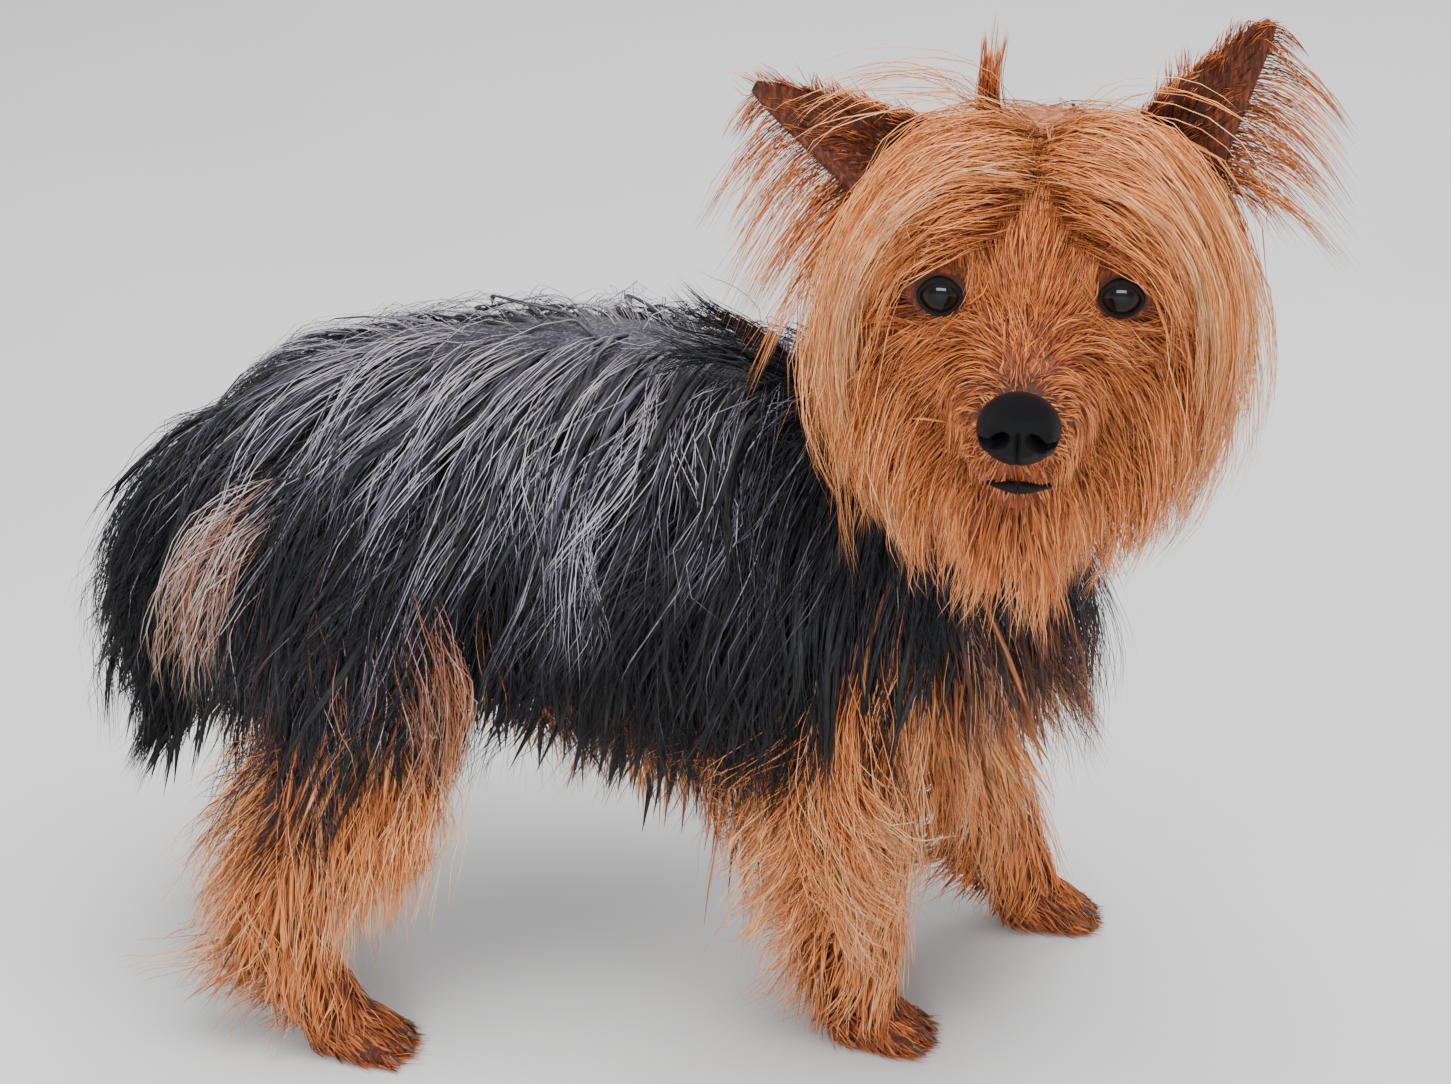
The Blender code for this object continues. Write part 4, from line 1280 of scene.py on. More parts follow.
HAIR = [
    Hair("flank", on_flank, torso_lie, 3.05, 8, (50, 92), (0.25, 1.0), reach=belly_reach,
         sway=6.5, wavelength=60, tuft=10, hold=0.84, loose=4.0, width=0.29, under=(6.6, 2.6)),
    Hair("chest", on_chest, fixed_lie((0.30, 0.12, -1), 0.15, 0.45), 2.55, 7, (44, 74),
         (0.2, 1.0), sway=4.6, wavelength=60, tuft=9, hold=0.78, slack=9, loose=4.0, width=0.3,
         reach=belly_reach, crisp=1.1, tone=-0.04, silver=0.14),
    Hair("rump", on_rump, fixed_lie((-0.35, 0, -1), 0.15, 0.2), 2.95, 7, (40, 66), (0.2, 1.0),
         sway=4.6, wavelength=60, tuft=9, hold=0.78, loose=4.0, width=0.31),
    Hair("neck", on_parts("neck"), fixed_lie((0.0, 0, -1), 0.15, 0.3), 3.9, 6, (40, 62),
         (0.2, 1.0), sway=2.8, wavelength=42, tuft=8, hold=0.8, width=0.36, under=(5.4, 2.4)),
    Hair("tail", on_parts("tail"), fixed_lie((-0.45, 0, -1), 0.12, 0.25), 2.1, 6, (28, 50),
         (0.2, 1.0), sway=2.4, tuft=6, hold=0.78, width=0.32, under=(4.0, 2.0)),
    Hair("thigh", on_parts("thigh_right", "thigh_left"), fixed_lie((-0.2, 0, -1), 0.15, 0.15),
         3.05, 6, (36, 62), (0.2, 1.0), sway=4.6, wavelength=56, tuft=9, hold=0.78, slack=5,
         loose=4.0, width=0.3, under=(5.4, 2.2), crisp=1.8, silver=0.05),
    Hair("shaft", on_shaft, leg_lie, 2.6, 5, (26, 48), (0.3, 1.0), sway=3.8, wavelength=48,
         tuft=7.5, hold=0.76, loose=3.4, width=0.32, under=(4.6, 2.0), slack=5, reach=leg_reach),
    Hair("fringe", on_fringe, leg_lie, 2.55, 6, (36, 60), (0.4, 1.0), sway=4.4, wavelength=52,
         tuft=8, hold=0.78, loose=3.6, width=0.32, under=(4.6, 2.0), slack=9, reach=leg_reach,
         droop=0.08),
    Hair("paw", on_parts(*PAWS), fixed_lie((0.6, 0, -0.45), 0.2, 0.5), 1.8, 3, (8, 15),
         (0.4, 1.0), sway=0.5, tuft=3.5, hold=0.5, width=0.33, under=(3.2, 1.4)),
    Hair("crown", on_head(crown_place), crown_lie(0.02, (10, 50)), 2.2, 7, (50, 104),
         (0.3, 0.9), droop=0.3, sway=3.8, wavelength=66, tuft=8, hold=0.82, width=0.33,
         slack=2.0, follow=0.5, rise=0.3, under=(4.2, 1.8), ears=0.95),
    Hair("brow", on_head(brow_place), crown_lie(0.16, (14, 44)), 1.8, 5, (14, 30), (0.05, 0.5),
         sway=1.4, wavelength=54, tuft=5, hold=0.7, width=0.3, slack=2,
         follow=0.5, under=(3.2, 1.2), sink=0.5, rise=0.5),
    Hair("bridge", on_head(bridge_place), radial_lie(0.3, 0.1), 1.1, 4, (9, 20), (0.02, 0.35),
         droop=0.0, sway=1.2, tuft=4.0, hold=0.5, width=0.23, under=(2.8, 0.8),
         sink=0.3),
    Hair("face", on_head(face_place), radial_lie(0.25, 0.7), 1.2, 4, (20, 42), (0.05, 0.7),
         sway=1.8, tuft=4.6, hold=0.62, width=0.26, follow=0.5, under=(2.8, 1.0),
         sink=0.3, reach=face_reach),
    Hair("muzzle", on_head(muzzle_place), radial_lie(0.3, 1.3), 1.35, 5, (16, 36), (0.12, 0.75),
         sway=1.8, wavelength=36, tuft=4.6, hold=0.6, width=0.26, under=(2.8, 0.9),
         sink=0.3, reach=muzzle_reach),
    Hair("side", on_head(side_place), face_lie((0.08, 0.3, -1.0)), 2.2, 7, (40, 92), (0.4, 1.0),
         sway=3.8, wavelength=56, tuft=8, hold=0.78, loose=3.4, width=0.33, follow=0.6,
         under=(4.2, 1.8), reach=side_reach, ears=0.95),
    Hair("nape", on_head(nape_place), fixed_lie((0.1, 0.0, -1), 0.12, 0.1), 2.9, 6, (32, 52),
         (0.2, 1.0), sway=2.4, tuft=7, width=0.36),
    Hair("throat", on_head(throat_place), face_lie((0.1, 0.15, -1.0)), 2.4, 6, (22, 40),
         (0.1, 0.9), sway=1.8, tuft=6, width=0.34),
    Hair("beard", on_beard, face_lie((0.15, 0.16, -1.0)), 1.4, 6, (16, 42), (0.2, 0.95),
         sway=2.2, wavelength=48, tuft=5.5, hold=0.74, loose=3.0, width=0.29, slack=5,
         under=(3.0, 1.2), tone=0.02, reach=beard_reach),
]
PIECE_TRIS = 190000
STRAY_SHARE = 0.05
STRAY_SLACK = (2, 9)
LOWEST_HAIR = 0.6


def strand_paths(hair, roots, outs, field, outline, rng):
    """Combed, clumped and waved paths with their ways up, lengths and tufts' guides."""
    n = len(roots)
    length = rng.uniform(*hair.length, n)
    if hair.reach:
        length *= hair.reach(roots)
    layer = hair.layer[0] + (hair.layer[1] - hair.layer[0]) * rng.random(n) ** 0.8
    slack = hair.slack * rng.uniform(0.1, 1.3, n)
    if hair.flat == 1:
        slack += (rng.random(n) < STRAY_SHARE) * rng.uniform(*STRAY_SLACK, n)
    lie = hair.lie(roots, outs, rng)
    path, ups = comb(field, outline, roots, outs, lie, length, layer, slack, hair)
    path, guide = clump(path, roots, hair.tuft, hair.hold, hair.loose, rng)
    phase = (rng.random(n) * 2 * np.pi)[guide] + rng.normal(0, 0.25, n)
    height = hair.sway * (0.3 + 1.1 * rng.random(n)[guide] ** 1.5 + 0.2 * rng.random(n))
    wavelength = hair.wavelength * rng.uniform(0.75, 1.35, n)[guide]
    path = wave(path, ups, length, height, wavelength, phase)
    path[:, :, 2] = np.maximum(path[:, :, 2], LOWEST_HAIR)
    return path, ups, length, guide


def strand_looks(hair, roots, guide, rng):
    """Each strand's share of tan and its tone, from its place, its tuft and chance."""
    n, own = len(roots), part_names(roots)
    chosen = 0.1 + 0.7 * rng.random(n)[guide] + 0.3 * rng.random(n)
    tan = np.clip((tan_share(roots, own) * 1.2 - chosen) * hair.crisp + 0.5, 0, 1)
    tuft = rng.normal(0, 1, n)[guide]
    tan_light = tan_tone(roots, own) + 0.06 * tuft + hair.tone
    silver_light = silver_tone(roots, own) + 0.15 * tuft + hair.silver
    return tan, np.where(tan > 0.5, tan_light, silver_light)


def grow(hair, number, skin, field, outline, paint):
    """One kind of hair over the skin, in as many pieces as its triangles need."""
    rng = np.random.default_rng([SEED, number])
    apart, wider = ((1.0, 1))
    chosen = hair.where(skin.parts, skin.middle, skin.out, skin.border) & ~skin.on_ear
    roots, outs, uv = skin.scatter(chosen, hair.spacing * apart, rng)
    n = len(roots)
    path, ups, length, guide = strand_paths(hair, roots, outs, field, outline, rng)
    tan, tone = strand_looks(hair, roots, guide, rng)
    width = hair.width * rng.uniform(0.75, 1.25, n) * wider
    chance = 0.5 + hair.chance * (rng.random(n) - 0.5)
    open_ears = before_ears(path) & (rng.random(n)[guide] < hair.ears)
    kept = np.flatnonzero(~before_eyes(path, hair.width / 2) & ~open_ears)
    kept = kept[np.argsort(roots[kept, 1], kind="stable")]
    shares = math.ceil(len(kept) * (6 * hair.steps - 2) / PIECE_TRIS)
    return [
        build_strands(f"coat_{hair.name}_{k + 1}", path[some], ups[some], width[some],
                      length[some], uv[some], (tan[some], chance[some], tone[some]), paint,
                      hair.flat)
        for k, some in enumerate(np.array_split(kept, shares))
    ]


FAN_ROOM = 0.2  # between a fan's strands and the lid openings


def weave(name, hair, path, ups, keys, uv, tan, tone, rng, paint):
    """A piece of strands from paths not made with comb; strands with near keys form tufts."""
    n = len(path)
    length = np.linalg.norm(np.diff(path, axis=1), axis=2).sum(1)
    path, guide = clump(path, keys, hair.tuft, hair.hold, hair.loose, rng)
    phase = (rng.random(n) * 2 * np.pi)[guide] + rng.normal(0, 0.25, n)
    height = hair.sway * (0.3 + rng.random(n)[guide] + 0.2 * rng.random(n))
    path = wave(path, ups, length, height, hair.wavelength, phase)
    width = hair.width * rng.uniform(0.75, 1.25, n)
    tone = tone + 0.06 * rng.normal(0, 1, n)[guide]
    open_ears = before_ears(path) & (rng.random(n)[guide] < hair.ears)
    kept = ~before_eyes(path, FAN_ROOM) & ~open_ears
    looks = (tan[kept], rng.random(n)[kept], tone[kept])
    return build_strands(name, path[kept], ups[kept], width[kept], length[kept], uv[kept], looks,
                         paint)


def free_paths(roots, ways, length, steps, droop):
    """Paths straight along their ways, bent down by their weight."""
    t = along_shares(steps)[None, :, None]
    reach = length[:, None, None]
    path = roots[:, None] + unit(ways)[:, None] * reach * t
    path[:, :, 2] -= (droop[:, None, None] * reach * t**2)[:, :, 0]
    ups = np.broadcast_to(unit(np.cross(np.cross(ways, [0, 0, 1.0]), ways))[:, None], path.shape)
    return path, ups.copy()


EAR_HAIR = Hair("ear", None, None, 1.2, 4, None, None, sway=1.2, tuft=3.6, hold=0.7, width=0.32,
                ears=0)
EAR_HAIR_TOP = 322.0  # the hair stays under the solids' top


def grow_ear(name, skin, paint):
    """Short hair in the cup, darkened as painted shade, longer on its back, and a long fringe
    along its edges.
    """
    rng = np.random.default_rng([SEED, 300 + len(name)])
    base, axis, front, across, tall = (np.array(v) for v in ear_axes(name))
    outer = np.sign(base[1])
    mine = skin.on_ear & (np.sign(skin.in_head[:, 1]) == outer)
    roots, outs, uv = skin.scatter(mine, EAR_HAIR.spacing, rng)
    q, n = to_head(roots), len(roots)
    out = outs @ HEAD_SPIN
    v = np.clip((q - base) @ axis / tall, 0, 1)
    a = np.clip((q - base - v[:, None] * axis * tall) @ across / ear_half(v), -1, 1)
    inside = out @ front > 0.15
    below = np.sign(a) == np.sign(across @ np.array([0, outer, -0.6]))
    edge = (np.abs(a) > np.where(below, 0.5, 0.74)) | (v > 0.86)
    chance = rng.normal(0, 0.16, (n, 3))
    ways = axis * 0.9 + across * (a * 0.7)[:, None] + front * np.where(inside, 0.3, -0.1)[:, None]
    flare = np.where(below, 1.0, 0.12)
    fringe = axis * 0.75 + across * (np.sign(a) * flare)[:, None] + front * 0.2
    ways = np.where(edge[:, None], fringe, ways) + chance
    length = np.where(inside, rng.uniform(5, 10, n), rng.uniform(9, 16, n))
    length = np.where(edge, rng.uniform(5, 11, n), length)
    long = edge & below & (rng.random(n) < 0.8) & (v < 0.85)
    length = np.where(long, rng.uniform(18, 46, n) * (1 - 0.45 * v), length)
    droop = np.where(edge & below, 0.75, 0.1)
    path, ups = free_paths(roots - outs * 0.3, ways @ HEAD_SPIN.T, length, EAR_HAIR.steps, droop)
    # painted shade: the hair inside the cup is darker and less tan
    tone = np.where(inside & ~edge, 0.15, np.where(long, 0.50, 0.36))
    tan = np.where(inside & ~edge, 0.85, 1.0)
    path[:, :, 2] = np.minimum(path[:, :, 2], EAR_HAIR_TOP)
    return weave("coat_" + name, EAR_HAIR, path, ups, roots, uv, tan, tone, rng, paint)


class Fan:
    """Hair swept along guide lines that stand side by side, in the head's or the dog's axes."""

    FINE = 25

    def __init__(self, name, guides, count, head=False, **more):
        self.name, self.guides, self.count, self.head = name, guides, count, head
        self.steps, self.start, self.end = 8, 0.25, 0.6
        self.jitter, self.depth = 2.0, 5.0
        self.sway, self.wavelength, self.tuft, self.hold, self.loose = 2.6, 50.0, 7.0, 0.76, 3.2
        self.width, self.tan, self.tone, self.top = 0.32, 1.0, 0.6, 0.0
        self.ears = 0.8
        for key, value in more.items():
            setattr(self, key, value)


def mirrored(guides):
    """Guides in the head's axes for its other side."""
    return [[(f, -l, u) for f, l, u in guide] for guide in guides]


def both_sides(name, right, left, count, **more):
    """A fan on each side of the head."""
    sides = (("right", right), ("left", left))
    return [Fan(f"{name}_{side}", guides, count, head=True, **more) for side, guides in sides]


RIGHT_LOCKS = [
    [(-2, 0, 30), (3, -6, 31.5), (6, -18, 31), (7, -32, 24), (6, -42, 10), (4, -47, -8)],
    [(-6, 0, 34), (0, -7, 35), (4, -21, 33), (5, -35, 21), (3, -45, 2), (1, -48, -24)],
    [(-12, 0, 37), (-4, -9, 38), (1, -24, 36), (1, -38, 22), (0, -47, 0), (-2, -49, -28),
     (-3, -41, -58)],
    [(-17, 0, 38), (-8, -12, 40), (-4, -27, 38), (-4, -40, 24), (-4, -49, 3), (-6, -52, -24),
     (-8, -47, -49), (-9, -38, -71)],
    [(-21, -1, 39), (-12, -15, 42), (-9, -29, 40), (-9, -42, 25), (-10, -52, 4),
     (-13, -57, -20), (-16, -50, -48)],
]
LEFT_LOCKS = [
    [(-2, 0, 31), (3, 5, 32.5), (6, 17, 32), (7, 31, 26), (6, 41, 13), (4, 46, -5)],
    [(-6, 0, 35), (0, 6, 36), (4, 20, 35), (5, 34, 24), (3, 44, 5), (1, 48, -22)],
    [(-12, 0, 38), (-4, 8, 40), (1, 22, 39), (1, 36, 26), (0, 46, 4), (-2, 49, -25),
     (-3, 43, -50)],
    [(-17, 0, 39), (-8, 10, 42), (-4, 25, 41), (-4, 39, 28), (-4, 50, 7), (-6, 54, -19),
     (-8, 50, -44), (-9, 43, -62)],
    [(-21, 1, 40), (-12, 13, 44), (-9, 27, 43), (-9, 41, 30), (-10, 53, 9),
     (-13, 60, -14), (-16, 55, -42)],
]
BROW_LOCKS = [
    [(0, -1, 32), (5, -9, 31), (7, -20, 28), (7, -32, 19), (6, -41, 6), (5, -46, -10)],
    [(6, -3, 27), (9, -11, 26), (10, -20, 23), (9, -30, 16), (8, -38, 5), (7, -43, -10)],
    [(10, -8, 19), (12, -14, 18), (12, -22, 16), (10, -31, 10), (8, -38, 0), (7, -42, -14)],
]
CHEEK_LOCKS = [
    [(8, -16, -34), (5, -22, -50), (1, -23, -68), (-3, -18, -91)],
    [(3, -26, -20), (3, -33, -38), (-1, -35, -60), (-6, -29, -84)],
    [(-2, -34, -4), (0, -41, -24), (-3, -44, -48), (-9, -38, -74)],
]
RIGHT_ARCS = [
    [(-18, -6, 38), (-14, -24, 46), (-12, -42, 44), (-12, -56, 34), (-12, -63, 20)],
    [(-26, -6, 39), (-20, -26, 48), (-18, -46, 47), (-18, -63, 39), (-17, -72, 24)],
]
LEFT_ARCS = [
    [(-18, 4, 39), (-14, 19, 48), (-12, 36, 48), (-12, 52, 39), (-14, 61, 22)],
    [(-26, 4, 40), (-20, 22, 50), (-16, 42, 50), (-14, 59, 40), (-13, 69, 20)],
]
LEG_FRONT = {"sway": 3.4, "start": 0.5, "depth": 8, "end": 0.45}
LEG_BACK = {"jitter": 3.4, "wavelength": 46, "sway": 3.2, "start": 0.4, "end": 0.5}
FANS = [
    *both_sides("locks", RIGHT_LOCKS, LEFT_LOCKS, 1350, tone=0.56, top=0.15, end=0.45,
                jitter=1.7),
    *both_sides("brows", BROW_LOCKS, mirrored(BROW_LOCKS), 300, tone=0.5, jitter=1.8, tuft=4,
                start=0.6, end=0.4, loose=2.4, width=0.26),
    *both_sides("cheek", CHEEK_LOCKS, mirrored(CHEEK_LOCKS), 420, tone=0.56, start=0.5,
                end=0.65),
    *both_sides("arcs", RIGHT_ARCS, LEFT_ARCS, 70, tone=0.72, jitter=3.4, tuft=4, loose=1.5,
                hold=0.9, start=0.1, depth=0),
    Fan("upright", [
        [(-36, -16, 31), (-36, -16, 41), (-35, -15, 51), (-35, -15, 62)],
        [(-37, -13, 31), (-36, -14, 41), (-36, -14, 51), (-35, -14, 62)],
    ], 150, head=True, tone=0.47, jitter=1.3, depth=0, hold=0.85, loose=2.2, sway=0.6),
    Fan("foreleg_front", [
        [(66, -50, 144), (66, -60, 126), (70, -65, 108), (80, -67, 96), (94, -64, 91)],
        [(62, -50, 136), (60, -61, 112), (64, -65, 90), (76, -64, 71), (90, -60, 58)],
        [(56, -46, 118), (54, -58, 96), (58, -61, 74), (68, -60, 54), (80, -57, 42)],
        [(60, -44, 86), (60, -52, 68), (64, -54, 48), (72, -54, 30)],
    ], 540, tone=0.68, jitter=3.4, **LEG_FRONT),
    Fan("foreleg_back", [
        [(58, -44, 108), (46, -53, 95), (35, -53, 80), (25, -50, 64)],
        [(57, -44, 84), (46, -50, 68), (36, -48, 52), (27, -46, 36)],
        [(58, -40, 60), (50, -46, 46), (42, -46, 33), (35, -44, 20)],
    ], 330, tone=0.68, **LEG_BACK),
    Fan("hindleg_back", [
        [(-92, -46, 116), (-106, -54, 102), (-121, -55, 86), (-134, -54, 68)],
        [(-98, -50, 88), (-112, -56, 71), (-124, -56, 55), (-132, -54, 42)],
        [(-100, -50, 60), (-110, -55, 48), (-118, -55, 36), (-124, -54, 26)],
    ], 340, tone=0.70, **LEG_BACK),
    Fan("hindleg_front", [
        [(-58, -54, 116), (-53, -62, 98), (-54, -65, 78), (-60, -62, 54)],
        [(-68, -56, 106), (-64, -64, 84), (-66, -65, 60), (-70, -62, 34)],
        [(-80, -56, 96), (-78, -64, 74), (-80, -64, 50), (-82, -61, 26)],
    ], 420, tone=0.66, jitter=4.0, **LEG_FRONT),
    Fan("thigh_front", [
        [(-50, -48, 160), (-44, -58, 138), (-42, -61, 116), (-48, -60, 92)],
        [(-66, -52, 150), (-60, -60, 128), (-58, -63, 106), (-64, -60, 82)],
        [(-84, -54, 148), (-80, -61, 128), (-80, -64, 108), (-86, -62, 84)],
    ], 330, tan=0.42, tone=0.7, jitter=4.4, sway=3.2, start=0.5, end=0.45),
    Fan("withers", [
        [(50, -10, 206), (38, -14, 219), (24, -17, 229), (12, -20, 243)],
        [(58, -22, 200), (36, -24, 211), (14, -26, 215), (-8, -28, 212)],
    ], 200, tan=0.0, tone=0.12, jitter=1.8, tuft=6, hold=0.85, depth=0),
    Fan("buttock", [
        [(-100, -42, 182), (-112, -53, 172), (-125, -52, 152), (-132, -47, 130), (-133, -42, 108)],
        [(-106, -42, 172), (-113, -54, 156), (-121, -51, 131), (-124, -46, 106)],
    ], 200, tan=0.34, tone=0.88, jitter=4.6, wavelength=56, sway=3.8, tuft=8, end=0.5),
]


def fan_paths(fan, rng):
    """Strands between neighbouring guides, each with its own start and end along them."""
    lines = np.array([smooth_rows(rows, fan.FINE) for rows in fan.guides])
    if fan.head:
        lines = from_head(lines)
    n = fan.count
    place = rng.random(n) * (len(lines) - 1)
    low = np.minimum(place.astype(int), len(lines) - 2)
    part = (place - low)[:, None, None]
    mixed = (1 - part) * lines[low] + part * lines[low + 1]
    start = fan.start * rng.random(n) ** 1.5
    end = rng.uniform(fan.end, 1.0, n)
    at = start[:, None] + (end - start)[:, None] * along_shares(fan.steps)
    at *= fan.FINE - 1
    index = np.minimum(at.astype(int), fan.FINE - 2)
    share = (at - index)[:, :, None]
    own = np.arange(n)[:, None]
    path = (1 - share) * mixed[own, index] + share * mixed[own, index + 1]
    return path + rng.normal(0, fan.jitter, (n, 1, 3))


ROOT_SINK = 0.8
ROOT_REACH = 14  # a root is drawn towards the skin by no more than this
FLESH_CLEAR = 0.6


def grow_fan(fan, number, skin, field, paint):
    """A fan's strands: rooted on the skin, in layers below its guides, never in the flesh."""
    rng = np.random.default_rng([SEED, 500 + number])
    path = fan_paths(fan, rng)
    n, t = fan.count, along_shares(fan.steps)
    height, up = field.sample(path.reshape(-1, 3))
    height, up = height.reshape(n, -1), up.reshape(n, -1, 3)
    layer = fan.depth * (rng.random(n) ** 1.3)[:, None]
    rooted = np.minimum(height[:, :1] + ROOT_SINK, ROOT_REACH) * (1 - smoothstep(t, 0, 0.3))
    clear = height - FLESH_CLEAR
    clear[:, 0] = ROOT_REACH
    path -= up * np.minimum(np.maximum(layer, rooted), clear)[:, :, None]
    uv = skin.map_places(path[:, 0])
    keys = path[:, fan.steps // 2]
    tone = fan.tone + 0.04 * rng.normal(0, 1, n)
    tone += fan.top * smoothstep(to_head(keys)[:, 2], -12, 32)
    tan = np.full(n, fan.tan)
    return weave("coat_" + fan.name, fan, path, up, keys, uv, tan, tone, rng, paint)


def grow_coat(skin, field, outline, paint):
    """All the coat's pieces; each kind of hair has its own seed, so one can change alone."""
    made = []
    for number, hair in enumerate(HAIR):
        made += grow(hair, number, skin, field, outline, paint)
        made += grow(tufts_of(hair), number + 100, skin, field, outline, paint)
    made += [grow_ear(name, skin, paint) for name in EARS]
    made += [grow_fan(fan, number, skin, field, paint) for number, fan in enumerate(FANS)]
    return made


def before_eyes(path, room):
    """Whether a path passes before an eye, or nearer to its opening than room."""
    q = to_head(path)
    near = eye_oval(q, LID_WIDE + room, LID_HIGH + room, LID_DROP) < 1
    return (near & (q[:, :, 0] > EYE_FRONT)).any(axis=1)


def before_ears(path):
    """Whether a path passes before the cup of an ear."""
    q = to_head(path)
    hit = np.zeros(len(path), bool)
    for name in EARS:
        base, axis, front, across, tall = (np.array(v) for v in ear_axes(name))
        v, a, ahead = ((q - base) @ axis / tall, (q - base) @ across, (q - base) @ front)
        hit |= ((v > 0.3) & (v < 1) & (np.abs(a) < 12 * (1.1 - v)) & (ahead > -3)).any(axis=1)
    return hit


class Nodes:
    """Short calls for building a material's nodes."""

    def __init__(self, name):
        self.material = bpy.data.materials.new(name)
        self.material.use_nodes = True
        self.tree = self.material.node_tree
        self.shader = self.tree.nodes["Principled BSDF"]

    def feed(self, socket, value):
        """Links an output to a socket, or sets the socket's own value."""
        if isinstance(value, bpy.types.NodeSocket):
            self.tree.links.new(value, socket)
        else:
            socket.default_value = value

    def node(self, kind, inputs=(), **settings):
        """A new node with its settings and what its inputs get."""
        made = self.tree.nodes.new(kind)
        for key, value in settings.items():
            setattr(made, key, value)
        for key, value in dict(inputs).items():
            self.feed(made.inputs[key], value)
        return made

    def math(self, operation, a, b):
        return self.node("ShaderNodeMath", {0: a, 1: b}, operation=operation).outputs[0]

    def lean(self, base, source, middle, amount):
        """The base, moved by an amount of how far the source is above its middle."""
        return self.math(
            "ADD", base, self.math("MULTIPLY", self.math("SUBTRACT", source, middle), amount)
        )

    def ramp(self, source, stops):
        made = self.node("ShaderNodeValToRGB", {"Fac": source})
        elements = made.color_ramp.elements
        while len(elements) < len(stops):
            elements.new(0.5)
        for element, (place, colour) in zip(elements, stops):
            element.position = place
            element.color = (*colour, 1)
        return made.outputs["Color"]

    def times(self, a, b):
        """Two colours multiplied."""
        return self.mix(1.0, a, b, "MULTIPLY")

    def mix(self, share, a, b, kind="MIX"):
        inputs = {0: share, 6: a, 7: b}
        return self.node("ShaderNodeMix", inputs, data_type="RGBA", blend_type=kind).outputs[2]

    def noise(self, scale, detail=3.0, roughness=0.55, place=None):
        inputs = {"Scale": scale, "Detail": detail, "Roughness": roughness}
        if place is not None:
            inputs["Vector"] = place
        return self.node("ShaderNodeTexNoise", inputs).outputs["Fac"]

    def stretched(self, place, scale):
        """A place scaled by an amount for each axis."""
        made = self.node("ShaderNodeMapping", {"Vector": place, "Scale": scale})
        return made.outputs["Vector"]

    def own_place(self):
        return self.node("ShaderNodeTexCoord").outputs["Object"]

    def looks(self):
        """The four numbers of the mesh's looks."""
        looks = self.node("ShaderNodeAttribute", attribute_name="looks")
        parts = self.node("ShaderNodeSeparateColor", {"Color": looks.outputs["Color"]})
        return (*parts.outputs, looks.outputs["Alpha"])

    def bump(self, height, strength, distance):
        inputs = {"Strength": strength, "Distance": distance, "Height": height}
        self.set(Normal=self.node("ShaderNodeBump", inputs).outputs["Normal"])

    def set(self, **values):
        """What the shader's inputs get, with _ for the spaces in their names."""
        for key, value in values.items():
            self.feed(self.shader.inputs[key.replace("_", " ")], value)


STEEL_STOPS = [
    (0.0, (0.002, 0.002, 0.003)), (0.3, (0.006, 0.006, 0.010)), (0.55, (0.034, 0.031, 0.046)),
    (0.78, (0.18, 0.165, 0.22)), (1.0, (0.66, 0.62, 0.70)),
]
TAN_STOPS = [
    (0.0, (0.055, 0.012, 0.004)), (0.25, (0.27, 0.054, 0.010)), (0.5, (0.68, 0.185, 0.038)),
    (0.75, (0.97, 0.355, 0.105)), (1.0, (1.0, 0.64, 0.35)),
]
# painted shade: the hair darkens towards its roots, where the strands shade each other
ROOT_SHADE_STOPS = [(0.0, (0.42, 0.40, 0.38)), (0.35, (0.86, 0.85, 0.84)), (0.8, (1, 1, 1))]
# black leather, rising to a bluish painted sheen where it faces up
NOSE_AND_SHEEN_STOPS = [
    (0.0, (0.002, 0.002, 0.002)), (0.35, (0.003, 0.003, 0.003)), (1.0, (0.010, 0.010, 0.013)),
]
# painted shade: the grooves between the nose's pebbles are darker
PEBBLE_GROOVE_SHADE_STOPS = [(0.0, (1, 1, 1)), (1.0, (0.55, 0.55, 0.55))]
LID_STOPS = [(0.2, (0.003, 0.0025, 0.0025)), (0.9, (0.012, 0.008, 0.007))]
EYE_STOPS = [
    (0.0, (0.001, 0.001, 0.001)), (0.19, (0.0015, 0.001, 0.001)), (0.23, (0.013, 0.005, 0.003)),
    (0.34, (0.020, 0.008, 0.004)), (0.41, (0.006, 0.003, 0.002)), (0.50, (0.05, 0.035, 0.03)),
]
CLAW_STOPS = [(0.2, (0.030, 0.020, 0.015)), (0.9, (0.120, 0.080, 0.055))]
FLOOR_STOPS = [(0.3, (0.60, 0.60, 0.59)), (0.7, (0.63, 0.63, 0.62))]


def coat_colour(m, grain):
    """The colour of steel and tan hair from its looks, with painted shade towards the roots; grain
    is a small share of noise.
    """
    tan, chance, along, tone = m.looks()
    spread = m.math("MULTIPLY", m.math("SUBTRACT", chance, 0.5), 0.62)
    silver = m.lean(m.lean(tone, spread, 0.0, 0.9), grain, 0.5, 1.0)
    # the steel hair fades towards its tip, so that the painted highlight of the back's top stays
    # near the top
    silver = m.lean(silver, along, 0.3, -0.42)
    light = m.lean(m.lean(tone, spread, 0.0, 0.55), along, 0.45, 0.30)
    light = m.lean(light, grain, 0.5, 0.9)
    both = m.mix(tan, m.ramp(silver, STEEL_STOPS), m.ramp(light, TAN_STOPS))
    # painted shade at the roots of the strands
    return m.times(both, m.ramp(along, ROOT_SHADE_STOPS))


def hair_paint():
    """Glossy hair with fine lines along each strand."""
    m = Nodes("coat_hair")
    thread = m.node("ShaderNodeAttribute", attribute_name="strand")
    place = m.stretched(thread.outputs["Vector"], (1.15, 0.045, 1.0))
    streak = m.noise(1.0, 3.0, 0.65, place)
    m.bump(streak, 1.0, 0.0012)
    m.set(Base_Color=coat_colour(m, streak), Roughness=0.38, Specular_IOR_Level=0.32,
          Sheen_Weight=0.04, Sheen_Roughness=0.4)
    return m.material


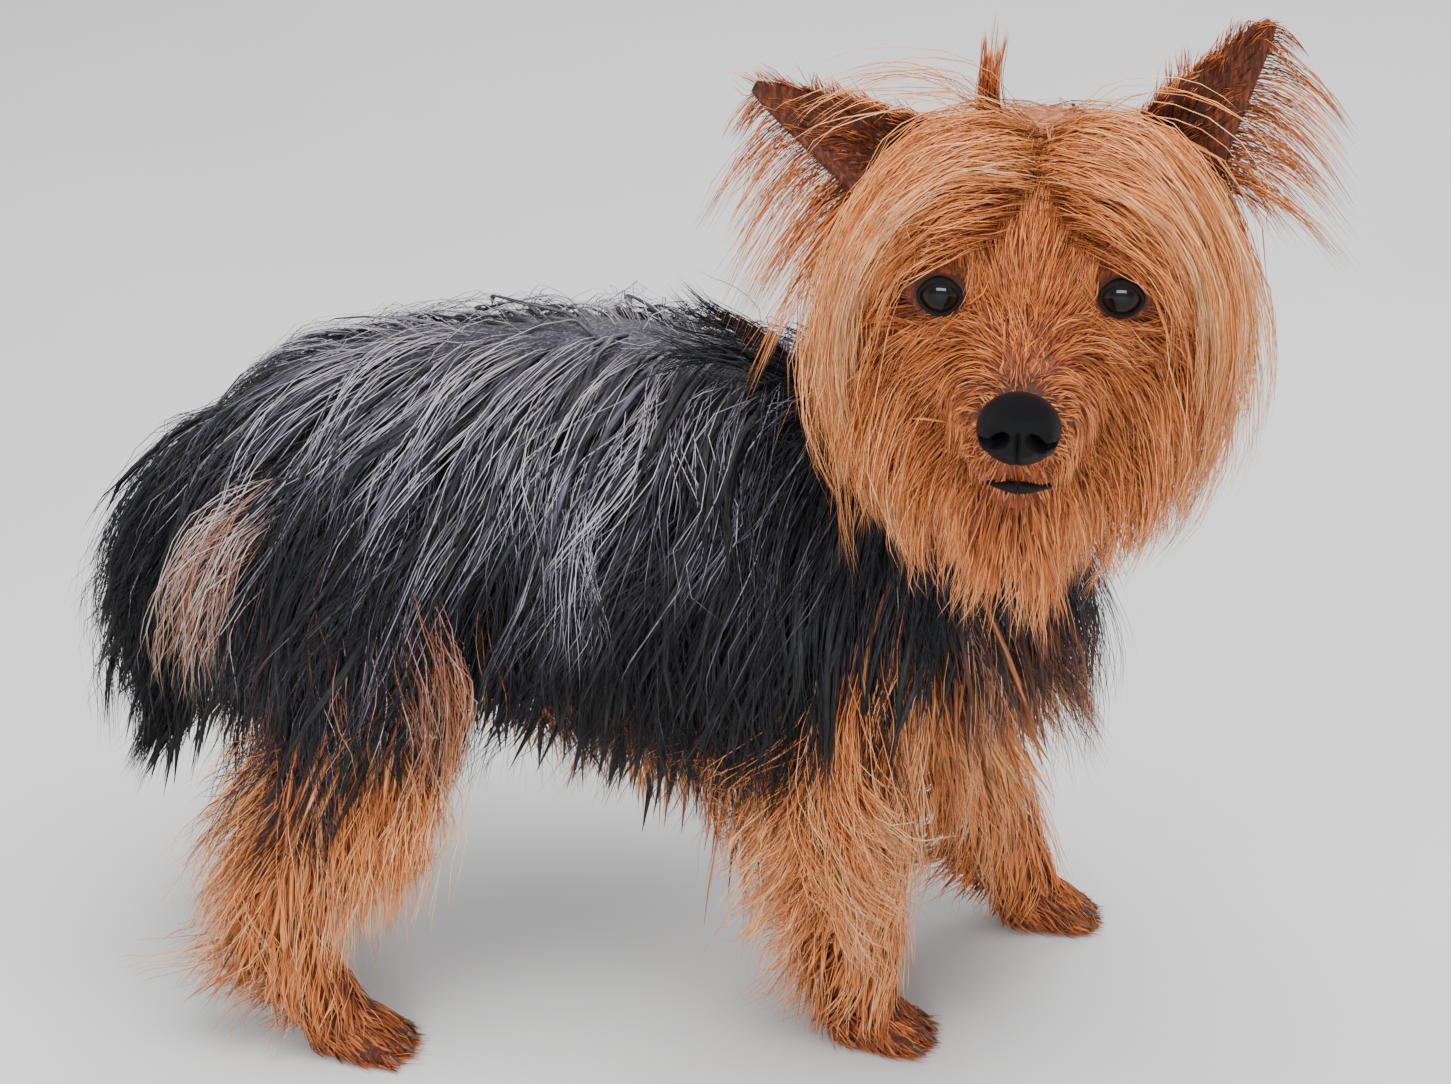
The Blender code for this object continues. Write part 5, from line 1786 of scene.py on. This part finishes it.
def skin_paint():
    """Skin under the coat: the coat's markings, darkened as painted shade, with the grain of the
    undercoat.
    """
    m = Nodes("skin_undercoat")
    streak = m.noise(1.0, 4.0, 0.6, m.stretched(m.own_place(), (900.0, 900.0, 160.0)))
    m.bump(streak, 0.6, 0.0008)
    m.set(Base_Color=coat_colour(m, streak), Roughness=0.7, Specular_IOR_Level=0.25,
          Sheen_Weight=0.1)
    return m.material


def nose_paint():
    """Black pebbled leather, a little paler where it faces up as painted sheen."""
    m = Nodes("nose_leather")
    pebble = m.node("ShaderNodeTexVoronoi", {"Scale": 1500.0}).outputs["Distance"]
    broad = m.noise(220.0)
    normal = m.node("ShaderNodeNewGeometry").outputs["Normal"]
    upward = m.node("ShaderNodeSeparateXYZ", {"Vector": normal}).outputs["Z"]
    # painted sheen: the upward faces of the nose are paler
    top = m.math("MULTIPLY", m.math("MAXIMUM", upward, 0.0), 0.8)
    colour = m.ramp(m.lean(top, broad, 0.0, 0.3), NOSE_AND_SHEEN_STOPS)
    m.bump(m.math("SUBTRACT", 1.0, pebble), 0.8, 0.0005)
    # painted shade in the pebbles' grooves darkens the leather's colour
    m.set(Base_Color=m.times(colour, m.ramp(pebble, PEBBLE_GROOVE_SHADE_STOPS)),
          Roughness=m.lean(0.24, broad, 0.0, 0.2), Specular_IOR_Level=0.2)
    return m.material


def lid_paint():
    m = Nodes("lid_skin")
    fine = m.noise(1800.0)
    m.bump(fine, 0.4, 0.0003)
    m.set(Base_Color=m.ramp(fine, LID_STOPS), Roughness=0.5, Specular_IOR_Level=0.12)
    return m.material


def eye_paint():
    """A dark brown iris round a wide pupil, under a clear wet coat."""
    m = Nodes("eye")
    out, around, _, _ = m.looks()
    inputs = {"X": m.math("MULTIPLY", around, 60.0), "Y": m.math("MULTIPLY", out, 4.0)}
    wedge = m.node("ShaderNodeCombineXYZ", inputs)
    streak = m.noise(1.0, 3.0, 0.6, wedge.outputs["Vector"])
    m.set(Base_Color=m.ramp(m.lean(out, streak, 0.5, 0.10), EYE_STOPS), Roughness=0.4,
          Specular_IOR_Level=0.05, Coat_Weight=1.0, Coat_Roughness=0.02, Coat_IOR=1.26)
    return m.material


def claw_paint():
    m = Nodes("claw_horn")
    grain = m.noise(1.0, 3.0, 0.6, m.stretched(m.own_place(), (500.0, 1600.0, 1600.0)))
    m.bump(grain, 0.3, 0.0002)
    m.set(Base_Color=m.ramp(grain, CLAW_STOPS), Roughness=0.35)
    return m.material


def floor_paint():
    m = Nodes("floor_pale")
    m.set(Base_Color=m.ramp(m.noise(60.0), FLOOR_STOPS), Roughness=0.8)
    return m.material


def from_bmesh(name, bm, paint):
    """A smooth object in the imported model's frame from a bmesh in the dog's axes."""
    bm.transform(Matrix.Scale(MM, 4) @ Matrix.Translation(SHIFT))
    bm.normal_update()
    mesh = mesh_of(name, bm)
    mesh.shade_smooth()
    mesh.materials.append(paint)
    obj = plain_object(name, mesh)
    finish_piece(obj)
    return obj


def finish_piece(obj):
    """Gives a piece the one body it rides on."""
    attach(obj, "root")


CORNEA = 1.0
LID_POINTS = 40
LID_SIDES = 10
LID_GROW = 0.15


def make_eye(name, left, paint):
    """An eyeball whose front bulges, with polar places for its paint."""
    bm = bmesh.new()
    bmesh.ops.create_uvsphere(bm, u_segments=48, v_segments=48, radius=EYE_RADIUS)
    bm.transform(Matrix.Rotation(math.radians(90), 4, "Y"))
    looks = bm.verts.layers.float_color.new("looks")
    for v in bm.verts:
        out = math.acos(max(-1, min(1, v.co.x / EYE_RADIUS))) / (math.pi / 2)
        around = math.atan2(v.co.z, v.co.y) / (2 * math.pi) + 0.5
        v[looks] = (out, abs(around - 0.5) * 2, 0, 1)
        bulge = max(0, 1 - out / 0.62)
        v.co += v.co.normalized() * (CORNEA * bulge ** 0.5 * (1 - 0.6 * bulge))
    bm.transform(TO_DOG @ Matrix.Translation((-0.2, left, eye_height(left))))
    obj = from_bmesh(name + "_ball", bm, paint)
    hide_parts(name)


def make_lids(name, left, paint):
    """A dark rim along the lid opening, thicker above, lying on the eyeball."""
    bm = bmesh.new()
    rings = []
    ring = lid_ring(LID_POINTS, LID_GROW)
    for k, (a, b) in enumerate(ring):
        radius = 0.46 + 0.26 * max(0.0, b / LID_HIGH)
        at = Vector((math.sqrt(max((EYE_RADIUS + 1.0) ** 2 - a * a - b * b, 1)), a, b))
        before, after = ring[k - 1], ring[(k + 1) % LID_POINTS]
        along = Vector((0, after[0] - before[0], after[1] - before[1])).normalized()
        out = at.normalized()
        across = along.cross(out)
        loop = []
        for s in range(LID_SIDES):
            angle = 2 * math.pi * s / LID_SIDES
            place = at + out * radius * math.cos(angle) + across * 1.25 * radius * math.sin(angle)
            loop.append(bm.verts.new(place))
        rings.append(loop)
    for k in range(LID_POINTS):
        low, high = rings[k], rings[(k + 1) % LID_POINTS]
        for s in range(LID_SIDES):
            t = (s + 1) % LID_SIDES
            bm.faces.new((low[s], low[t], high[t], high[s]))
    bmesh.ops.recalc_face_normals(bm, faces=bm.faces[:])
    bm.transform(TO_DOG @ Matrix.Translation((0, left, eye_height(left))))
    from_bmesh(name + "_lids", bm, paint)


def nose_shape():
    """The nose pad with its wings, groove and nostrils."""
    pieces = [head_shape(NOSE, 2.0, 22, 40)]
    for side in (1, -1):
        pieces.append(ball(3.6, (42.4, side * 6.2, -20.6), (1.0, 0.95, 1.15)))
    mesh = voxel_union(pieces, NOSE_VOXEL)
    co = relaxed(mesh, coordinates(mesh), 6)
    f, l, u = co.T
    groove = np.exp(-((l / 0.42) ** 2)) * smoothstep(f, 40, 43) * smoothstep(-u, 17.5, 21)
    co[:, 0] -= 1.3 * groove
    for side in (1, -1):
        a, b = l - side * NOSTRIL[1], u - NOSTRIL[2]
        slant = a * side * 0.35
        hole = (a / 2.5) ** 2 + ((b + slant) / 1.9) ** 2
        slit_a, slit_b = a - side * 2.6, b + 0.4
        slit = (slit_a / 2.6) ** 2 + ((slit_b - 0.12 * slit_a * side) / 0.75) ** 2
        depth = np.maximum(smoothstep(-hole, -1.15, -0.45), 0.8 * smoothstep(-slit, -1.2, -0.4))
        co[:, 0] -= 4.2 * depth * smoothstep(f, 37, 40)
    set_coordinates(mesh, relaxed(mesh, co, 1, 0.35))
    return mesh


def make_nose(paint):
    bm = bmesh.new()
    bm.from_mesh(nose_shape())
    bm.transform(TO_DOG)
    obj = from_bmesh("nose_pad", bm, paint)
    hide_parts("nose")


def make_mouth(paint):
    """The dark edge of the lips, along the mouth's line."""
    rows = []
    for share in np.linspace(-1, 1, 15):
        s = abs(share)
        high = 1.7 - 1.0 * s
        rows.append((36.1 - 5.0 * s**2, 0.8 + 7.2 * share, -36.4 - 1.2 * s**2, 1.4, high, high, 0))
    from_bmesh("mouth_edge", placed(tube(rows, 40, 10), TO_DOG), paint)


def claw_shape(toe):
    """A short curved claw that ends in a small tip."""
    ahead, across, lean = toe_rows(toe)
    rows = []
    for s in np.linspace(0, 1, 7):
        radius = 1.0 * (1 - s) ** 0.7 + 0.10
        rows.append((
            ahead + 6.0 + 4.2 * s, across + lean * (5 + 5 * s), 3.6 - 2.2 * s**1.6,
            radius * 0.75, radius, radius, 0,
        ))
    return tube(rows, 12, 10)


def make_claws(name, paint):
    """The four claws of a paw as one piece."""
    claws = placed(joined([claw_shape(toe) for toe in range(4)]), paw_matrix(name))
    from_bmesh("claws_" + name, claws, paint)


def skin_looks(surface):
    """The skin's share of tan and its tone, darker than the coat over it as painted shade."""
    parts = part_names(surface.co)
    ears = ear_share(surface.co)
    tan = np.clip(tan_share(surface.co, parts) + ears, 0, 1)
    tone = np.where(tan > 0.5, tan_tone(surface.co, parts), silver_tone(surface.co, parts))
    # painted shade: the skin is darker than the coat, so that the gaps between strands read as
    # shade
    tone = np.where(ears > 0.5, ear_tone(surface.co), tone - 0.30)
    return tan, tone - 0.45 * bare_share(surface.co)


def make_skin(paint):
    """The one skin with its map and markings, and what the coat needs of it."""
    mesh = skin_mesh()
    field = Field(mesh)
    skin = plain_object("skin", add_ears(mesh))
    unwrap(skin)
    surface = Surface(skin.data)
    tan, tone = skin_looks(surface)
    # along 0.3 also gives the skin the painted shade of the strands' roots
    set_four(skin.data, "looks", tone.shape, tan, 0.45, 0.3, tone)
    set_coordinates(skin.data, (surface.co + np.array(SHIFT)) * MM)
    skin.data.shade_smooth()
    skin.data.materials.clear()
    skin.data.materials.append(paint)
    finish_piece(skin)
    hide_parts(*FLESH)
    return surface, field


def bare_share(points):
    """Dark bare skin behind the nose and round the eyes."""
    f, _, u = to_head(points).T
    nose = smoothstep(f, 24, 31) * smoothstep(u, -18, -14)
    eye = eye_oval(to_head(points), 6.2, 5.4)
    return np.maximum(nose, smoothstep(-eye, -1.3, -0.8) * (f > 0))


def ear_share(points):
    """1 on the ears' cups, beyond the skull."""
    q = to_head(points)
    share = np.zeros(len(points))
    for base, tip, _ in EARS.values():
        base, tip = np.array(base, float), np.array(tip, float)
        axis = tip - base
        along = (q - base) @ axis / (axis @ axis)
        away = np.linalg.norm(q - base - np.clip(along, 0, 1.1)[:, None] * axis, axis=1)
        share = np.maximum(share, (along > 0.12) & (away < 19))
    return share


def ear_tone(points):
    """Darkest inside the cup, as painted shade."""
    q = to_head(points)
    return np.where(q[:, 0] > -37, 0.10, 0.22)


def area_light(name, place, toward, size, power, colour):
    """A rectangular light at a place, turned toward another."""
    light = bpy.data.lights.new(name, "AREA")
    light.shape, light.size, light.size_y = "RECTANGLE", *size
    light.energy, light.color = power, colour
    obj = bpy.data.objects.new(name, light)
    obj.location = place
    obj.rotation_euler = (Vector(toward) - Vector(place)).to_track_quat("-Z", "Y").to_euler()
    bpy.context.scene.collection.objects.link(obj)


CAMERA_AIM = Vector((25, 0, 147))
CAMERA_TURN = math.radians(5)
CAMERA_PITCH = math.radians(26)
CAMERA_AWAY = 860
CAMERA_LENS = 2924 / 1451 * 36


def make_camera():
    """The photo's camera, as it was fitted to the dog."""
    aim = (CAMERA_AIM + SHIFT) * MM
    back = Vector((
        math.sin(CAMERA_TURN) * math.cos(CAMERA_PITCH),
        -math.cos(CAMERA_TURN) * math.cos(CAMERA_PITCH),
        math.sin(CAMERA_PITCH),
    ))
    data = bpy.data.cameras.new("camera")
    data.lens, data.sensor_width = CAMERA_LENS, 36
    camera = bpy.data.objects.new("camera", data)
    camera.location = aim + back * CAMERA_AWAY * MM
    camera.rotation_euler = (-back).to_track_quat("-Z", "Y").to_euler()
    bpy.context.scene.collection.objects.link(camera)
    bpy.context.scene.camera = camera


MIDDLE = (0, 0, 0.15)
LIGHTS = [
    # name, place, aim, width and height, power and colour
    ("top", (0.1, -0.2, 1.5), MIDDLE, (1.1, 0.9), 34, (1, 1, 1)),
    ("key", (-0.9, -1.3, 1.2), MIDDLE, (0.6, 0.6), 11, (1.0, 0.98, 0.95)),
    ("fill", (1.5, -1.0, 0.5), MIDDLE, (0.9, 0.9), 6, (0.95, 0.97, 1.0)),
    ("catch", (0.06, -1.06, 0.29), (0.1, -0.1, 0.26), (0.5, 0.16), 7, (0.9, 0.95, 1.0)),
    ("back", (0.3, 1.4, 1.1), (0, 0, 0.2), (1.0, 0.6), 14, (1, 1, 1)),
]


def make_studio():
    """A pale floor, a broad soft light above and smaller ones round the dog."""
    bm = bmesh.new()
    bmesh.ops.create_grid(bm, x_segments=8, y_segments=8, size=6.0)
    floor = plain_object("floor", mesh_of("floor", bm))
    floor.data.materials.append(floor_paint())
    world = bpy.data.worlds.new("studio")
    world.use_nodes = True
    sky = world.node_tree.nodes["Background"].inputs
    sky["Color"].default_value = (0.93, 0.96, 1.0, 1)
    sky["Strength"].default_value = 0.65
    bpy.context.scene.world = world
    for light in LIGHTS:
        area_light(*light)


def main():
    make_camera()
    make_studio()
    surface, field = make_skin(skin_paint())
    outline = Field(voxel_union(outline_pieces(), OUTLINE_VOXEL))
    for coat in grow_coat(surface, field, outline, hair_paint()):
        finish_piece(coat)
    eye, lids, horn, leather = eye_paint(), lid_paint(), claw_paint(), nose_paint()
    for name, left in (("eye_left", EYE_APART / 2), ("eye_right", -EYE_APART / 2)):
        make_eye(name, left, eye)
        make_lids(name, left, lids)
    make_nose(leather)
    make_mouth(lids)
    for name in PAWS:
        make_claws(name, horn)
    for mesh in [m for m in bpy.data.meshes if not m.users]:
        bpy.data.meshes.remove(mesh)


main()
